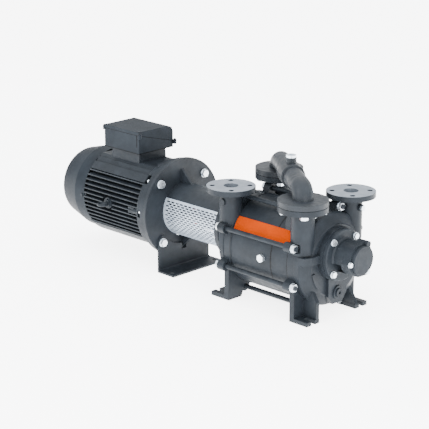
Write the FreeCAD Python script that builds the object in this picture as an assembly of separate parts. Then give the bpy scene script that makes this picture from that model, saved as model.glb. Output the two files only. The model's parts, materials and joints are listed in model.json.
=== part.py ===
import FreeCAD, Part
import math
import os

# Two-stage liquid ring vacuum pump with a flanged motor, coupled through a lantern.
# All sizes are in millimetres. Every piece is built about the shaft axis: X runs along the
# shaft from the motor to the free end and is zero at the suction port, Z is up.
# The last step moves all pieces so that the base is at zero height and the middle of the
# whole machine is at zero in X.

V = FreeCAD.Vector

# General clearances
RUN_GAP = 0.3
SEAT_GAP = 0.05
HOLE_GAP = 1.0
SHAFT_HOLE_GAP = 0.6
SHAFT_HEIGHT = 215.0

# Ports, all four alike
FLANGE_R = 82.5
FLANGE_THK = 18.0
FLANGE_PCD = 125.0
FLANGE_HOLE_R = 9.0
FLANGE_HOLES = 4
FLANGE_BOLT_R = 8.0
BODY_R = 155.0
PORT_R = 25.0
PORT_OFFSET = 117.5
PORT_STAND = 22.5
PORT_FACE = BODY_R + PORT_STAND
NECK_R = 39.0
NECK_BOTTOM = 18.0
PORT_BORE_LEN = 85.5
POCKET_R = 27.0
POCKET_BOTTOM = 40.0

# Casings and stage bodies
ECCENTRICITY = 25.0
BODY_WALL = 12.0
CASING_JOINT = 32.0
CASING_END = 41.0
END_WALL = 12.0
STAGE1_LEN = 184.0
STAGE2_LEN = 72.0
PORT_PLATE_THK = 10.0
PORT_PLATE_LAND = 7.0
PORT_PLATE_R = BODY_R - PORT_PLATE_LAND
DIVIDER_THK = 14.0
SEAL_HUB_R = 50.0
BODY_CLEAR = 2.6
RIM_STEP = 1.6
RIM_LEN = 42.0
CONE_LEN = 23.0
CONE_DROP = 36.0
CONE_END_R = BODY_R - CONE_DROP

# Tie rods
TIE_STAND = 17.5
TIE_CIRCLE_R = BODY_R + TIE_STAND
TIE_ROD_R = 8.0
TIE_RODS = 8
TIE_ANGLE = 22.5
EAR_R = 17.0
EAR_LEN = 29.0
DRIVE_EAR_SETBACK = 12.0
ROD_END = 4.0
NUT_SPOT_R = 16.5

# Pump feet
FOOT_OUT = 150.0
FOOT_IN = 88.0
PAD_THK = 14.0
FOOT_PLATE_THK = 20.0
DRIVE_FOOT_SETBACK = 10.0
DRIVE_PAD_LEN = 82.0
FREE_FOOT_SETBACK = 9.0
FREE_PAD_LEN = 77.0
SLOT_R = 9.0
SLOT_Y = 120.0
SLOT_DEPTH = 28.0
FOOT_WEB_THK = 15.0

# Free end of the pump
FREE_BOSS_R = 90.0
FREE_BOSS_LEN = 19.0
HOUSING_FLANGE_R = 87.0
HOUSING_FLANGE_THK = 16.0
HOUSING_BOLT_R = 6.0
HOUSING_BOLT_INSET = 11.0
HOUSING_BOLT_PCD = 2.0 * (HOUSING_FLANGE_R - HOUSING_BOLT_INSET)
HOUSING_R = 56.0
HOUSING_LEN = 75.0
HOUSING_END_THK = 13.0
CAP_FLANGE_THK = 12.0
CAP_DISC_R = 56.0
CAP_NOSE_R = 48.5
CAP_NOSE_LEN = 12.0
CAP_LOBE_R = 11.0
CAP_LOBE_AT = 55.0
CAP_BOLT_R = 5.0
CAP_BOSS_LEN = 10.0
CAP_BOSS_BACK = 17.0
CAP_LOBES = (64.0, 184.0, 304.0)
WINDOW_UPPER_Z = -15.0
WINDOW_LOWER_Z = -49.0
DRAIN_BOSS_R = 23.5
DRAIN_BOSS_LEN = 16.0
DRAIN_BOSS_UP = 47.0
DRAIN_PLUG_R = 9.0
END_BLOCK_HALF = 45.0
END_BLOCK_THK = 11.0
END_BLOCK_CORNER = 21.0
END_BLOCK_RISE = 29.0

# Drive end hub and bearings of the pump
DRIVE_BOSS_R = 116.0
DRIVE_BOSS_LEN = 21.0
DRIVE_HUB_R = 58.0
DRIVE_HUB_LEN = 58.0
BEARING_COVER_THK = 8.0
SMALL_RIB_FROM = 192.0
SMALL_RIB_TO = 221.0
DRIVE_BEARING_R = 45.0
DRIVE_BEARING_W = 23.0
FREE_BEARING_R = 36.0
FREE_BEARING_W = 19.0

# Pump shaft, from the impellers outwards
SHAFT_R = 24.0
SEAL_SHAFT_R = 21.0
DRIVE_BEARING_SHAFT_R = 20.0
COUPLING_SHAFT_R = 19.0
FREE_BEARING_SHAFT_R = 15.0
SEAL_BORE_R = 34.0
SEAL_BORE_START = 2.0
SEAL_BORE_END = 30.0
SEAL_SEAT_LEN = 8.0
SHAFT_NUT_LEN = 8.0

# Impellers
TIP_GAP = 1.5
IMPELLER_HUB_R = 46.0
BLADES = 12
BLADE_THK = 6.0
BLADE_SWEEP = 24.0
IMPELLER_DISC_THK = 6.0

# Curved openings of the port plates: mean radius, width, first and last angle
STAGE1_SUCTION = (78.0, 40.0, 118.0, 195.0)
STAGE1_DISCHARGE = (70.0, 24.0, -20.0, 48.0)
STAGE2_SUCTION = (78.0, 34.0, 118.0, 190.0)
STAGE2_DISCHARGE = (70.0, 18.0, -10.0, 46.0)

# Manifold between the stages
GASKET_THK = 1.5
PIPE_R = 34.5
PIPE_HEIGHT = 48.0
PIPE_BEND = 42.0
TEE_R = 41.0
TEE_LEN = 84.0
TEE_BOSS_R = 18.0
TEE_BOSS_HEIGHT = 57.0
TEE_PLUG_LEN = 8.0

# Lantern, guards and bracket
LANTERN_LEN = 306.0
LANTERN_R = 94.0
LANTERN_WALL = 8.0
LANTERN_PUMP_FLANGE_R = 118.0
LANTERN_PUMP_FLANGE_THK = 18.0
LANTERN_FLANGE_R = 180.0
LANTERN_BOLT_R = 5.0
LANTERN_BOLT_DEPTH = 10.0
LANTERN_FLANGE_THK = 12.0
WINDOW_TOP = 43.0
WINDOW_LOW = -82.0
WINDOW_MARGIN = 10.0
GUARD_THK = 1.5
GUARD_LAP_ANGLE = 7.0
RIB_THK = 10.0
MOTOR_PCD = 300.0
MOTOR_BOLT_R = 8.0
BRACKET_THK = 7.0
BRACKET_HALF = 124.0
BRACKET_DEPTH = 80.0
BRACKET_TOP = -80.0
BRACKET_ARC_R = 128.0
BRACKET_HOLE_R = 9.0
BRACKET_HOLE_Y = 107.0
BRACKET_HOLE_BACK = 54.0

# Motor
SPIGOT_R = 125.0
SPIGOT_LEN = 5.0
MOTOR_FLANGE_R = 175.0
MOTOR_FLANGE_THK = 22.0
SHIELD_LEN = 50.0
FRAME_R = 130.0
FRAME_WALL = 12.0
FRAME_BORE_R = FRAME_R - FRAME_WALL
FRAME_LEN = 304.0
FIN_HEIGHT = 28.0
FIN_R = FRAME_R + FIN_HEIGHT
SHIELD_STAND = 10.0
SHIELD_R = FIN_R + SHIELD_STAND
SHIELD_BOLT_R = 5.0
SHIELD_BOLT_INSET = 8.0
EYE_SEAT = FIN_R - 4.0
EYE_RING_R = 16.0
EYE_NECK = 8.0
EYE_BAR_R = 5.0
FIN_THK = 4.5
FIN_PITCH = 16.0
FINS_EACH_SIDE = 13
STATOR_LEN = 180.0
STATOR_RING = 40.0
STATOR_BORE_R = FRAME_BORE_R - STATOR_RING
MOTOR_SHAFT_R = 21.0
MOTOR_SHAFT_EXT = 110.0
MOTOR_BEARING_SHAFT_R = 22.5
MOTOR_BEARING_R = 50.0
MOTOR_BEARING_W = 25.0
ROTOR_SHAFT_R = 27.0
COWL_STAND = 22.0
COWL_R = FRAME_R + COWL_STAND
COWL_CONE_DROP = 22.0
COWL_CONE_R = COWL_R - COWL_CONE_DROP
COWL_END_DROP = 54.0
COWL_END_R = COWL_R - COWL_END_DROP
COWL_LEN = 161.0
COWL_STRAIGHT = 52.0
COWL_ROUND_LEN = 24.0
COWL_THK = 2.5
COWL_LAP = 4.0
FAN_GAP = 30.0
FAN_R = COWL_R - FAN_GAP
FAN_BLADES = 8
FAN_LEN = 36.0

# Terminal box and its seat on the frame
BOX_X = -583.0
BOX_LEN = 184.0
BOX_HALF = 83.0
SEAT_LEN = 146.0
SEAT_HALF = 63.0
BOX_BOTTOM = 183.0
BOX_TOP = 264.0
BOX_WALL = 5.0
BOX_SPLIT_FRONT = 252.0
BOX_SPLIT_BACK = 207.0

# Coloured plate on the pump body
SIDE_PLATE_THK = 1.6
SIDE_PLATE_MARGIN = 6.0
SIDE_PLATE_LOW = 156.5
SIDE_PLATE_HIGH = 138.0

# Coupling
COUPLING_R = 50.0
COUPLING_HUB_LEN = 42.0
JAW_LEN = 20.0
JAWS = 3
JAW_ANGLE = 48.0
JAW_IN_R = 24.0
LEG_GAP_ANGLE = 1.0

# Stations along the shaft, worked out from the sizes above
X_JOINT1 = CASING_JOINT
X_MID = X_JOINT1 + STAGE1_LEN
X_JOINT2 = X_MID + STAGE2_LEN
X_FREE_PORT = X_JOINT2 + CASING_JOINT
X_FREE_END = X_FREE_PORT + CASING_END
X_HOUSING = X_FREE_END + FREE_BOSS_LEN
X_CAP = X_HOUSING + HOUSING_LEN
X_CAP_FACE = X_CAP + CAP_FLANGE_THK
X_MAX = X_CAP_FACE + max(CAP_NOSE_LEN, CAP_BOSS_LEN)
X_DRIVE_END = -CASING_END
X_LANTERN = X_DRIVE_END - DRIVE_BOSS_LEN
X_HUB_END = X_LANTERN - DRIVE_HUB_LEN
X_MOTOR = X_LANTERN - LANTERN_LEN
X_LANTERN_FRONT = X_MOTOR + LANTERN_FLANGE_THK
X_FRAME = X_MOTOR - SHIELD_LEN
X_FRAME_END = X_FRAME - FRAME_LEN
X_COWL = X_FRAME_END + COWL_LAP
X_MIN = X_COWL - COWL_LEN
Z_BASE = -SHAFT_HEIGHT
CHAMBER_R = BODY_R - BODY_WALL
IMPELLER_R = CHAMBER_R - ECCENTRICITY - TIP_GAP
Z_BODY = -ECCENTRICITY
DRAIN_BOSS_Z = Z_BODY - BODY_R + DRAIN_BOSS_UP


# Basic solids

def cyl_x(xa, xb, r, y=0.0, z=0.0):
    """Cylinder along X between two stations."""
    low = min(xa, xb)
    return Part.makeCylinder(r, abs(xb - xa), V(low, y, z), V(1, 0, 0))


def cyl_y(ya, yb, r, x, z):
    low = min(ya, yb)
    return Part.makeCylinder(r, abs(yb - ya), V(x, low, z), V(0, 1, 0))


def cyl_z(za, zb, r, x, y):
    low = min(za, zb)
    return Part.makeCylinder(r, abs(zb - za), V(x, y, low), V(0, 0, 1))


def tube_x(xa, xb, r_out, r_in, y=0.0, z=0.0):
    low = min(xa, xb)
    high = max(xa, xb)
    return cyl_x(low, high, r_out, y, z).cut(cyl_x(low - 1.0, high + 1.0, r_in, y, z))


def block(xa, xb, ya, yb, za, zb):
    """Box between two corners given in any order."""
    corner = V(min(xa, xb), min(ya, yb), min(za, zb))
    return Part.makeBox(abs(xb - xa), abs(yb - ya), abs(zb - za), corner)


def face_of(points):
    wire = Part.makePolygon(points + [points[0]])
    return Part.Face(wire)


def prism_x(points, xa, xb):
    """Outline of (y, z) points carried along X."""
    low = min(xa, xb)
    return face_of([V(low, y, z) for y, z in points]).extrude(V(abs(xb - xa), 0, 0))


def prism_y(points, ya, yb):
    """Outline of (x, z) points carried along Y."""
    low = min(ya, yb)
    return face_of([V(x, low, z) for x, z in points]).extrude(V(0, abs(yb - ya), 0))


def revolve_x(points, y=0.0, z=0.0):
    """Closed outline of (x, radius) points turned about the shaft direction."""
    face = face_of([V(x, y, z + r) for x, r in points])
    return face.revolve(V(0, y, z), V(1, 0, 0), 360)


def fuse(shapes):
    first = shapes[0]
    if len(shapes) == 1:
        return first
    return first.multiFuse(shapes[1:]).removeSplitter()


def cut(shape, tools):
    return shape.cut(tools).removeSplitter()


def polar(r, angle):
    """Point on a circle about the X direction, as (y, z)."""
    turn = math.radians(angle)
    return r * math.cos(turn), r * math.sin(turn)


def turned_x(shape, angle, y=0.0, z=0.0):
    """Copy of a shape turned about an axis along X through (y, z)."""
    copy = shape.copy()
    copy.rotate(V(0, y, z), V(1, 0, 0), angle)
    return copy


def round_ends(solid, radius, station):
    """Round the circular edges of a cylinder that lie at one X station."""
    edges = [e for e in solid.Edges if e.Closed and abs(e.CenterOfMass.x - station) < 0.01]
    return solid.makeFillet(radius, edges)


def sector_x(xa, xb, r_in, r_out, a0, a1, y=0.0, z=0.0):
    """Piece of a ring between two angles."""
    def at(r, angle):
        dy, dz = polar(r, angle)
        return V(min(xa, xb), y + dy, z + dz)
    mid = (a0 + a1) / 2.0
    edges = [
        Part.Arc(at(r_out, a0), at(r_out, mid), at(r_out, a1)).toShape(),
        Part.makeLine(at(r_out, a1), at(r_in, a1)),
        Part.Arc(at(r_in, a1), at(r_in, mid), at(r_in, a0)).toShape(),
        Part.makeLine(at(r_in, a0), at(r_out, a0)),
    ]
    return Part.Face(Part.Wire(edges)).extrude(V(abs(xb - xa), 0, 0))


def arc_slot_x(xa, xb, r_mid, width, a0, a1, y=0.0, z=0.0):
    """Slot with round ends that follows an arc about the X direction."""
    half = width / 2.0
    body = sector_x(xa, xb, r_mid - half, r_mid + half, a0, a1, y, z)
    ends = []
    for angle in (a0, a1):
        dy, dz = polar(r_mid, angle)
        ends.append(cyl_x(xa, xb, half, y + dy, z + dz))
    return fuse([body] + ends)


def hex_prism(across, height):
    """Hexagon across flats, standing on the XY plane."""
    radius = across / math.sqrt(3.0)
    points = []
    for k in range(6):
        turn = math.radians(60.0 * k + 30.0)
        points.append(V(radius * math.cos(turn), radius * math.sin(turn), 0))
    return face_of(points).extrude(V(0, 0, height))


def aimed(shape, position, direction):
    """Turn a shape from +Z to a direction and move it to a position."""
    copy = shape.copy()
    copy.Placement = FreeCAD.Placement(position, FreeCAD.Rotation(V(0, 0, 1), direction))
    return copy


def hex_bolt(radius, length):
    """Bolt with its head above the XY plane and its shank below."""
    washer = Part.makeCylinder(radius * 1.9, radius * 0.3)
    head = hex_prism(radius * 3.0, radius * 1.5)
    shank = Part.makeCylinder(radius, length, V(0, 0, -length))
    return fuse([washer, head, shank])


def bolt_head_height(radius):
    return radius * 1.5


def hex_nut(radius, height):
    """Nut with a washer below, standing on the XY plane."""
    washer = Part.makeCylinder(radius * 1.9, radius * 0.3)
    body = hex_prism(radius * 3.0, height)
    bore = Part.makeCylinder(radius + SEAT_GAP, height + 2.0, V(0, 0, -1.0))
    return fuse([washer, body]).cut(bore)


def tie_points():
    """Centres of the tie rods as (y, z)."""
    points = []
    for k in range(TIE_RODS):
        dy, dz = polar(TIE_CIRCLE_R, TIE_ANGLE + k * 360.0 / TIE_RODS)
        points.append((dy, Z_BODY + dz))
    return points


def flange_points(x, y, turn=45.0):
    """Centres of the bolt holes of one port flange as (x, y)."""
    points = []
    for k in range(FLANGE_HOLES):
        dx, dy = polar(FLANGE_PCD / 2.0, turn + k * 360.0 / FLANGE_HOLES)
        points.append((x + dx, y + dy))
    return points


# Pump casings

def ears(xa, xb):
    """The lugs on a casing that the tie rods pass through."""
    shapes = []
    for k in range(TIE_RODS):
        round_part = cyl_x(xa, xb, EAR_R, TIE_CIRCLE_R, Z_BODY)
        root = block(xa, xb, BODY_R - BODY_WALL / 2.0, TIE_CIRCLE_R, Z_BODY - EAR_R, Z_BODY + EAR_R)
        ear = fuse([round_part, root])
        shapes.append(turned_x(ear, TIE_ANGLE + k * 360.0 / TIE_RODS, 0.0, Z_BODY))
    return shapes


def ear_holes(ear_face, inner_face, side):
    """Holes for the tie rods, with room for each nut; side points out of the casing."""
    tools = []
    for y, z in tie_points():
        tools.append(cyl_x(inner_face, ear_face + side, TIE_ROD_R + HOLE_GAP, y, z))
        tools.append(cyl_x(ear_face, ear_face + side * 2.0 * TIE_ROD_R * 1.5, NUT_SPOT_R, y, z))
    return tools


def port_solids(x, y):
    """Neck and flange of one port."""
    neck = cyl_z(NECK_BOTTOM, PORT_FACE - FLANGE_THK + 1.0, NECK_R, x, y)
    flange = cyl_z(PORT_FACE - FLANGE_THK, PORT_FACE, FLANGE_R, x, y)
    return [neck, flange]


def port_cuts(x, y, joint_side):
    """Bore, pocket and bolt holes of one port; joint_side points to the stage body."""
    z_pocket = PORT_FACE - PORT_BORE_LEN
    inner = CASING_JOINT - PORT_PLATE_THK
    bore = cyl_z(z_pocket - 1.0, PORT_FACE + 1.0, PORT_R, x, y)
    pocket = cyl_z(POCKET_BOTTOM, z_pocket, POCKET_R, x, y)
    keep = block(x + joint_side * (inner - 2.0), x - joint_side * 2.0 * POCKET_R,
                 y - 2.0 * POCKET_R, y + 2.0 * POCKET_R, POCKET_BOTTOM, z_pocket)
    holes = [cyl_z(PORT_FACE - FLANGE_THK - 1.0, PORT_FACE + 1.0, FLANGE_HOLE_R, hx, hy)
             for hx, hy in flange_points(x, y)]
    return [bore, pocket.common(keep)] + holes


def gauge_boss(x, y, axis, reach):
    """Small round boss for a gauge on a port neck."""
    height = PORT_FACE - FLANGE_THK - 32.0
    return aimed(Part.makeCylinder(12.0, reach), V(x, y, height), axis)


def casing_shell(port_x, side):
    """Barrel of one casing with a conical end and two ports; side is +1 when the end faces +X."""
    joint = port_x - side * CASING_JOINT
    end = port_x + side * CASING_END
    rim = end - side * RIM_LEN
    cone = end - side * CONE_LEN
    barrel = revolve_x([(joint, 0.0), (joint, BODY_R), (rim, BODY_R), (rim, BODY_R + RIM_STEP),
                        (cone, BODY_R + RIM_STEP), (cone + side * 5.0, BODY_R - 3.0),
                        (end - side * 4.0, CONE_END_R + 4.0), (end, CONE_END_R), (end, 0.0)], 0.0, Z_BODY)
    solids = [barrel]
    for y in (-PORT_OFFSET, PORT_OFFSET):
        solids += port_solids(port_x, y)
    return solids


def casing_cavity(port_x, side):
    """Space inside a casing: two gas chambers either side of the seal hub and dividing wall."""
    joint = port_x - side * CASING_JOINT
    plate = port_x - side * (CASING_JOINT - PORT_PLATE_THK)
    inner_end = port_x + side * (CASING_END - END_WALL)
    recess = cyl_x(joint - side * 1.0, plate, PORT_PLATE_R + RUN_GAP, 0.0, Z_BODY)
    inner_cone = inner_end - side * CONE_LEN
    chamber = revolve_x([(plate, 0.0), (plate, CHAMBER_R), (inner_cone, CHAMBER_R),
                         (inner_end, CONE_END_R - END_WALL), (inner_end, 0.0)], 0.0, Z_BODY)
    hub = cyl_x(plate, inner_end, SEAL_HUB_R)
    half = DIVIDER_THK / 2.0
    wall = block(plate, inner_end, -half, half, Z_BODY - CHAMBER_R, Z_BODY + CHAMBER_R)
    return [recess, chamber.cut(fuse([hub, wall]))]


def seal_bores(port_x, side, outer_end):
    """Stepped hole for the shaft and its seal."""
    plate = port_x - side * CASING_JOINT
    start = port_x + side * SEAL_BORE_START
    stop = port_x + side * SEAL_BORE_END
    throat = cyl_x(plate, start, SHAFT_R + SHAFT_HOLE_GAP)
    seal = cyl_x(start, stop, SEAL_BORE_R)
    tail = cyl_x(stop, outer_end + side * 1.0, SEAL_SHAFT_R + SHAFT_HOLE_GAP)
    return [throat, seal, tail]


def body_clearance(port_x, side):
    """Space kept clear round the stage body where necks and ribs reach over it."""
    joint = port_x - side * CASING_JOINT
    return cyl_x(joint, joint - side * 60.0, BODY_R + BODY_CLEAR, 0.0, Z_BODY)


def foot_plate(xa, xb):
    """Upright plates of a pair of feet, joined to the barrel above an arch."""
    top = Z_BODY - TIE_CIRCLE_R * math.sin(math.radians(TIE_ANGLE))
    arch = Z_BODY - BODY_R
    half = [(FOOT_OUT, Z_BASE), (FOOT_OUT, top), (60.0, Z_BODY - 90.0), (40.0, arch + 12.0),
            (FOOT_IN - 24.0, arch - 6.0), (FOOT_IN - 8.0, arch - 18.0), (FOOT_IN, Z_BASE)]
    right = prism_x(half, xa, xb)
    left = prism_x([(-y, z) for y, z in half], xa, xb)
    return [left, right]


def foot_pads(xa, xb, open_end):
    """Pads with a slot open at one end for the foundation bolt."""
    pads = []
    slots = []
    step = -1.0 if open_end < (xa + xb) / 2.0 else 1.0
    slot_end = open_end - step * SLOT_DEPTH
    for sign in (-1.0, 1.0):
        y_in = sign * (FOOT_IN + 2.0)
        pads.append(block(xa, xb, y_in, sign * FOOT_OUT, Z_BASE, Z_BASE + PAD_THK))
        slots.append(cyl_z(Z_BASE - 1.0, Z_BASE + PAD_THK + 1.0, SLOT_R, slot_end, sign * SLOT_Y))
        slots.append(block(slot_end, open_end + step, sign * SLOT_Y - SLOT_R, sign * SLOT_Y + SLOT_R,
                           Z_BASE - 1.0, Z_BASE + PAD_THK + 1.0))
    return pads, slots


def drive_end_casing():
    """Casing on the motor side: suction port in front, first interstage port behind."""
    ear_b = X_JOINT1 - DRIVE_EAR_SETBACK
    ear_a = ear_b - EAR_LEN
    solids = casing_shell(0.0, -1.0) + ears(ear_a, ear_b)
    plate_b = X_JOINT1 - DRIVE_FOOT_SETBACK
    plate_a = plate_b - FOOT_PLATE_THK
    pad_a = plate_b - DRIVE_PAD_LEN
    pads, slots = foot_pads(pad_a, plate_b, pad_a)
    solids += foot_plate(plate_a, plate_b) + pads
    for sign in (-1.0, 1.0):
        web = prism_y([(plate_a, Z_BASE + PAD_THK), (plate_a - 22.0, Z_BASE + PAD_THK),
                       (plate_a, Z_BASE + PAD_THK + 34.0)],
                      sign * (FOOT_IN + 2.0), sign * (FOOT_IN + 2.0 + FOOT_WEB_THK))
        solids.append(web)
    solids.append(cyl_x(X_DRIVE_END + END_WALL, X_DRIVE_END, DRIVE_BOSS_R))
    solids.append(gauge_boss(0.0, -PORT_OFFSET, V(0, -1, 0), NECK_R + 5.0))
    tools = casing_cavity(0.0, -1.0) + ear_holes(ear_a, plate_b + 1.0, -1.0) + slots
    tools += seal_bores(0.0, -1.0, X_DRIVE_END)
    for y in (-PORT_OFFSET, PORT_OFFSET):
        tools += port_cuts(0.0, y, 1.0)
    tools += lantern_bolt_shanks(SEAT_GAP)
    tools.append(body_clearance(0.0, -1.0))
    return cut(fuse(solids), tools)


def drive_bearing_bracket():
    """Carrier of the drive end bearing, clamped between the lantern and the casing."""
    boss = cyl_x(X_DRIVE_END, X_LANTERN, DRIVE_BOSS_R)
    hub = cyl_x(X_DRIVE_END, X_HUB_END, DRIVE_HUB_R)
    tools = [cyl_x(X_HUB_END - 1.0, X_HUB_END + DRIVE_BEARING_W + 1.0, DRIVE_BEARING_R + SEAT_GAP)]
    tools.append(cyl_x(X_DRIVE_END + 1.0, X_HUB_END, SEAL_SHAFT_R + SHAFT_HOLE_GAP))
    for y, z in lantern_bolt_points():
        tools.append(cyl_x(X_DRIVE_END + 1.0, X_LANTERN - 1.0, LANTERN_BOLT_R + HOLE_GAP, y, z))
    return cut(fuse([boss, hub]), tools)


def free_end_casing():
    """Casing on the free side: discharge port behind, second interstage port in front."""
    ear_a = X_JOINT2
    ear_b = ear_a + EAR_LEN
    solids = casing_shell(X_FREE_PORT, 1.0) + ears(ear_a, ear_b)
    plate_a = X_JOINT2 + FREE_FOOT_SETBACK
    plate_b = plate_a + FOOT_PLATE_THK
    pad_b = plate_a + FREE_PAD_LEN
    pads, slots = foot_pads(plate_a, pad_b, pad_b)
    solids += foot_plate(plate_a, plate_b) + pads
    pad_top = Z_BASE + PAD_THK
    web_in = FOOT_IN + 3.0
    web_out = web_in + FOOT_WEB_THK
    high = Z_BASE + 104.0
    front = [(plate_a, pad_top), (pad_b, pad_top), (pad_b, high - 34.0),
             (X_FREE_END - 8.0, high), (plate_a, high)]
    back = [(plate_a, pad_top), (pad_b, pad_top), (plate_b + 18.0, Z_BASE + 78.0), (plate_a, Z_BASE + 78.0)]
    solids.append(prism_y(front, -web_in, -web_out))
    solids.append(prism_y(back, web_in, web_out))
    boss = cyl_x(X_FREE_END - 2.0, X_HOUSING, FREE_BOSS_R)
    solids.append(boss)
    solids.append(end_block())
    solids.append(cyl_x(X_FREE_END - 2.0, X_FREE_END + DRAIN_BOSS_LEN, DRAIN_BOSS_R, 0.0, DRAIN_BOSS_Z))
    solids.append(end_rib())
    solids.append(small_end_rib())
    solids.append(neck_gusset())
    solids.append(gauge_boss(X_FREE_PORT, PORT_OFFSET, V(1, 0, 0), NECK_R + 8.0))
    tools = casing_cavity(X_FREE_PORT, 1.0) + ear_holes(ear_b, ear_a - 1.0, 1.0) + slots
    tools += seal_bores(X_FREE_PORT, 1.0, X_HOUSING)
    for y in (-PORT_OFFSET, PORT_OFFSET):
        tools += port_cuts(X_FREE_PORT, y, -1.0)
    tools += housing_bolt_shanks(SEAT_GAP)
    drain_end = X_FREE_END + DRAIN_BOSS_LEN
    tools.append(cyl_x(drain_end - 12.0, drain_end + 1.0, DRAIN_PLUG_R + SEAT_GAP, 0.0, DRAIN_BOSS_Z))
    tools.append(gauge_plug_shank(SEAT_GAP))
    tools.append(body_clearance(X_FREE_PORT, 1.0))
    return cut(fuse(solids), tools)


def end_block():
    """Raised pad on the end face below the bearing housing."""
    top = -FREE_BOSS_R + END_BLOCK_THK
    low = Z_BODY - BODY_R + END_BLOCK_THK
    inner = END_BLOCK_HALF - END_BLOCK_CORNER
    half = [(inner, low), (END_BLOCK_HALF, low + END_BLOCK_RISE), (END_BLOCK_HALF, top)]
    outline = half + [(-y, z) for y, z in reversed(half)]
    return prism_x(outline, X_FREE_END - CONE_LEN, X_FREE_END + END_BLOCK_THK)


def end_rib():
    """Level rib from the rim to the bearing boss on the front half of the end."""
    x0 = X_FREE_END - CONE_LEN - 4.0
    outline = [(x0, -BODY_R - 1.0), (X_FREE_END - 2.0, -BODY_R + 4.0), (X_FREE_END + 9.0, -BODY_R + 30.0),
               (X_FREE_END + 11.0, -FREE_BOSS_R + 4.0), (x0, -FREE_BOSS_R + 4.0)]
    return face_of([V(x, y, -13.0) for x, y in outline]).extrude(V(0, 0, 26.0))


def small_end_rib():
    """Short slanted rib cast on the end face."""
    return sector_x(X_FREE_END - 12.0, X_FREE_END + 4.0, CONE_END_R - 13.0, CONE_END_R + 1.0,
                    SMALL_RIB_FROM, SMALL_RIB_TO, 0.0, Z_BODY)


def neck_gusset():
    """Flat sided rib that stiffens the front interstage neck above the stage body."""
    top = PORT_FACE - FLANGE_THK + 1.0
    x_neck = X_FREE_PORT - NECK_R
    outline = [(x_neck + 20.0, top), (x_neck - 2.0, top), (x_neck - 18.0, top - 52.0),
               (x_neck - 14.0, top - 72.0), (x_neck + 20.0, top - 72.0)]
    return prism_y(outline, -PORT_OFFSET - 20.0, -PORT_OFFSET + 14.0)


def stage_body(xa, xb, recess_at_start):
    """Plain ring of one stage, with a recess for the middle plate where asked."""
    ring = tube_x(xa, xb, BODY_R, CHAMBER_R, 0.0, Z_BODY)
    if recess_at_start:
        recess = cyl_x(xa - 1.0, xa + PORT_PLATE_THK, PORT_PLATE_R + RUN_GAP, 0.0, Z_BODY)
        ring = ring.cut(recess)
    return ring


def body_plug_shank(gap):
    return cyl_y(-BODY_R - 1.0, -CHAMBER_R + 1.0, 10.0 + gap, body_plug_x(), Z_BODY)


def body_plug_x():
    return X_MID - 38.0


def stage1_body():
    ring = stage_body(X_JOINT1, X_MID, False)
    bead = tube_x(X_JOINT1, X_JOINT1 + 5.0, BODY_R + RIM_STEP, CHAMBER_R, 0.0, Z_BODY)
    return cut(fuse([ring, bead]), [body_plug_shank(SEAT_GAP)])


def stage2_body():
    return stage_body(X_MID, X_JOINT2, True)


def body_plug():
    head = aimed(hex_prism(24.0, 11.0), V(body_plug_x(), -BODY_R, Z_BODY), V(0, -1, 0))
    shank = cyl_y(-BODY_R - 2.0, -CHAMBER_R - 1.0, 10.0, body_plug_x(), Z_BODY)
    return fuse([head, shank])


def gauge_plug_base():
    return V(X_FREE_PORT + NECK_R + 8.0, PORT_OFFSET, PORT_FACE - FLANGE_THK - 32.0)


def gauge_plug_shank(gap):
    base = gauge_plug_base()
    return cyl_x(base.x - 9.0, base.x + 1.0, 7.0 + gap, base.y, base.z)


def gauge_plug():
    base = gauge_plug_base()
    head = aimed(hex_prism(17.0, 8.0), base, V(1, 0, 0))
    shank = cyl_x(base.x - 8.0, base.x + 1.0, 7.0, base.y, base.z)
    return fuse([head, shank])


def drain_plug():
    x = X_FREE_END + DRAIN_BOSS_LEN
    head = aimed(Part.makeCylinder(15.0, 5.0), V(x, 0, DRAIN_BOSS_Z), V(1, 0, 0))
    socket = aimed(hex_prism(10.0, 6.0), V(x + 1.0, 0, DRAIN_BOSS_Z), V(1, 0, 0))
    shank = cyl_x(x - 11.0, x + 1.0, DRAIN_PLUG_R, 0.0, DRAIN_BOSS_Z)
    return fuse([head, shank]).cut(socket)


# Port plates

def port_plate(xa, suction, discharge):
    """Flat disc between casing and chamber with its curved gas openings."""
    xb = xa + PORT_PLATE_THK
    disc = cyl_x(xa, xb, PORT_PLATE_R, 0.0, Z_BODY)
    tools = [cyl_x(xa - 1.0, xb + 1.0, SHAFT_R + SHAFT_HOLE_GAP)]
    for r_mid, width, a0, a1 in (suction, discharge):
        tools.append(arc_slot_x(xa - 1.0, xb + 1.0, r_mid, width, a0, a1))
    return cut(disc, tools)


def drive_end_port_plate():
    return port_plate(X_JOINT1 - PORT_PLATE_THK, STAGE1_SUCTION, STAGE1_DISCHARGE)


def free_end_port_plate():
    return port_plate(X_JOINT2, STAGE2_SUCTION, STAGE2_DISCHARGE)


def middle_plate():
    disc = cyl_x(X_MID, X_MID + PORT_PLATE_THK, PORT_PLATE_R, 0.0, Z_BODY)
    return disc.cut(cyl_x(X_MID - 1.0, X_MID + PORT_PLATE_THK + 1.0, SHAFT_R + SHAFT_HOLE_GAP))


# Tie rods and nuts

def tie_stations():
    """Outer faces of the lugs at both ends."""
    low = X_JOINT1 - DRIVE_EAR_SETBACK - EAR_LEN
    high = X_JOINT2 + EAR_LEN
    return low, high


def tie_rods():
    low, high = tie_stations()
    nut = bolt_head_height(TIE_ROD_R)
    return [cyl_x(low - nut - ROD_END, high + nut + ROD_END, TIE_ROD_R, y, z) for y, z in tie_points()]


def tie_rod_nuts():
    low, high = tie_stations()
    nut = hex_nut(TIE_ROD_R, bolt_head_height(TIE_ROD_R))
    nuts = []
    for y, z in tie_points():
        nuts.append(aimed(nut, V(high, y, z), V(1, 0, 0)))
        nuts.append(aimed(nut, V(low, y, z), V(-1, 0, 0)))
    return nuts


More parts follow.
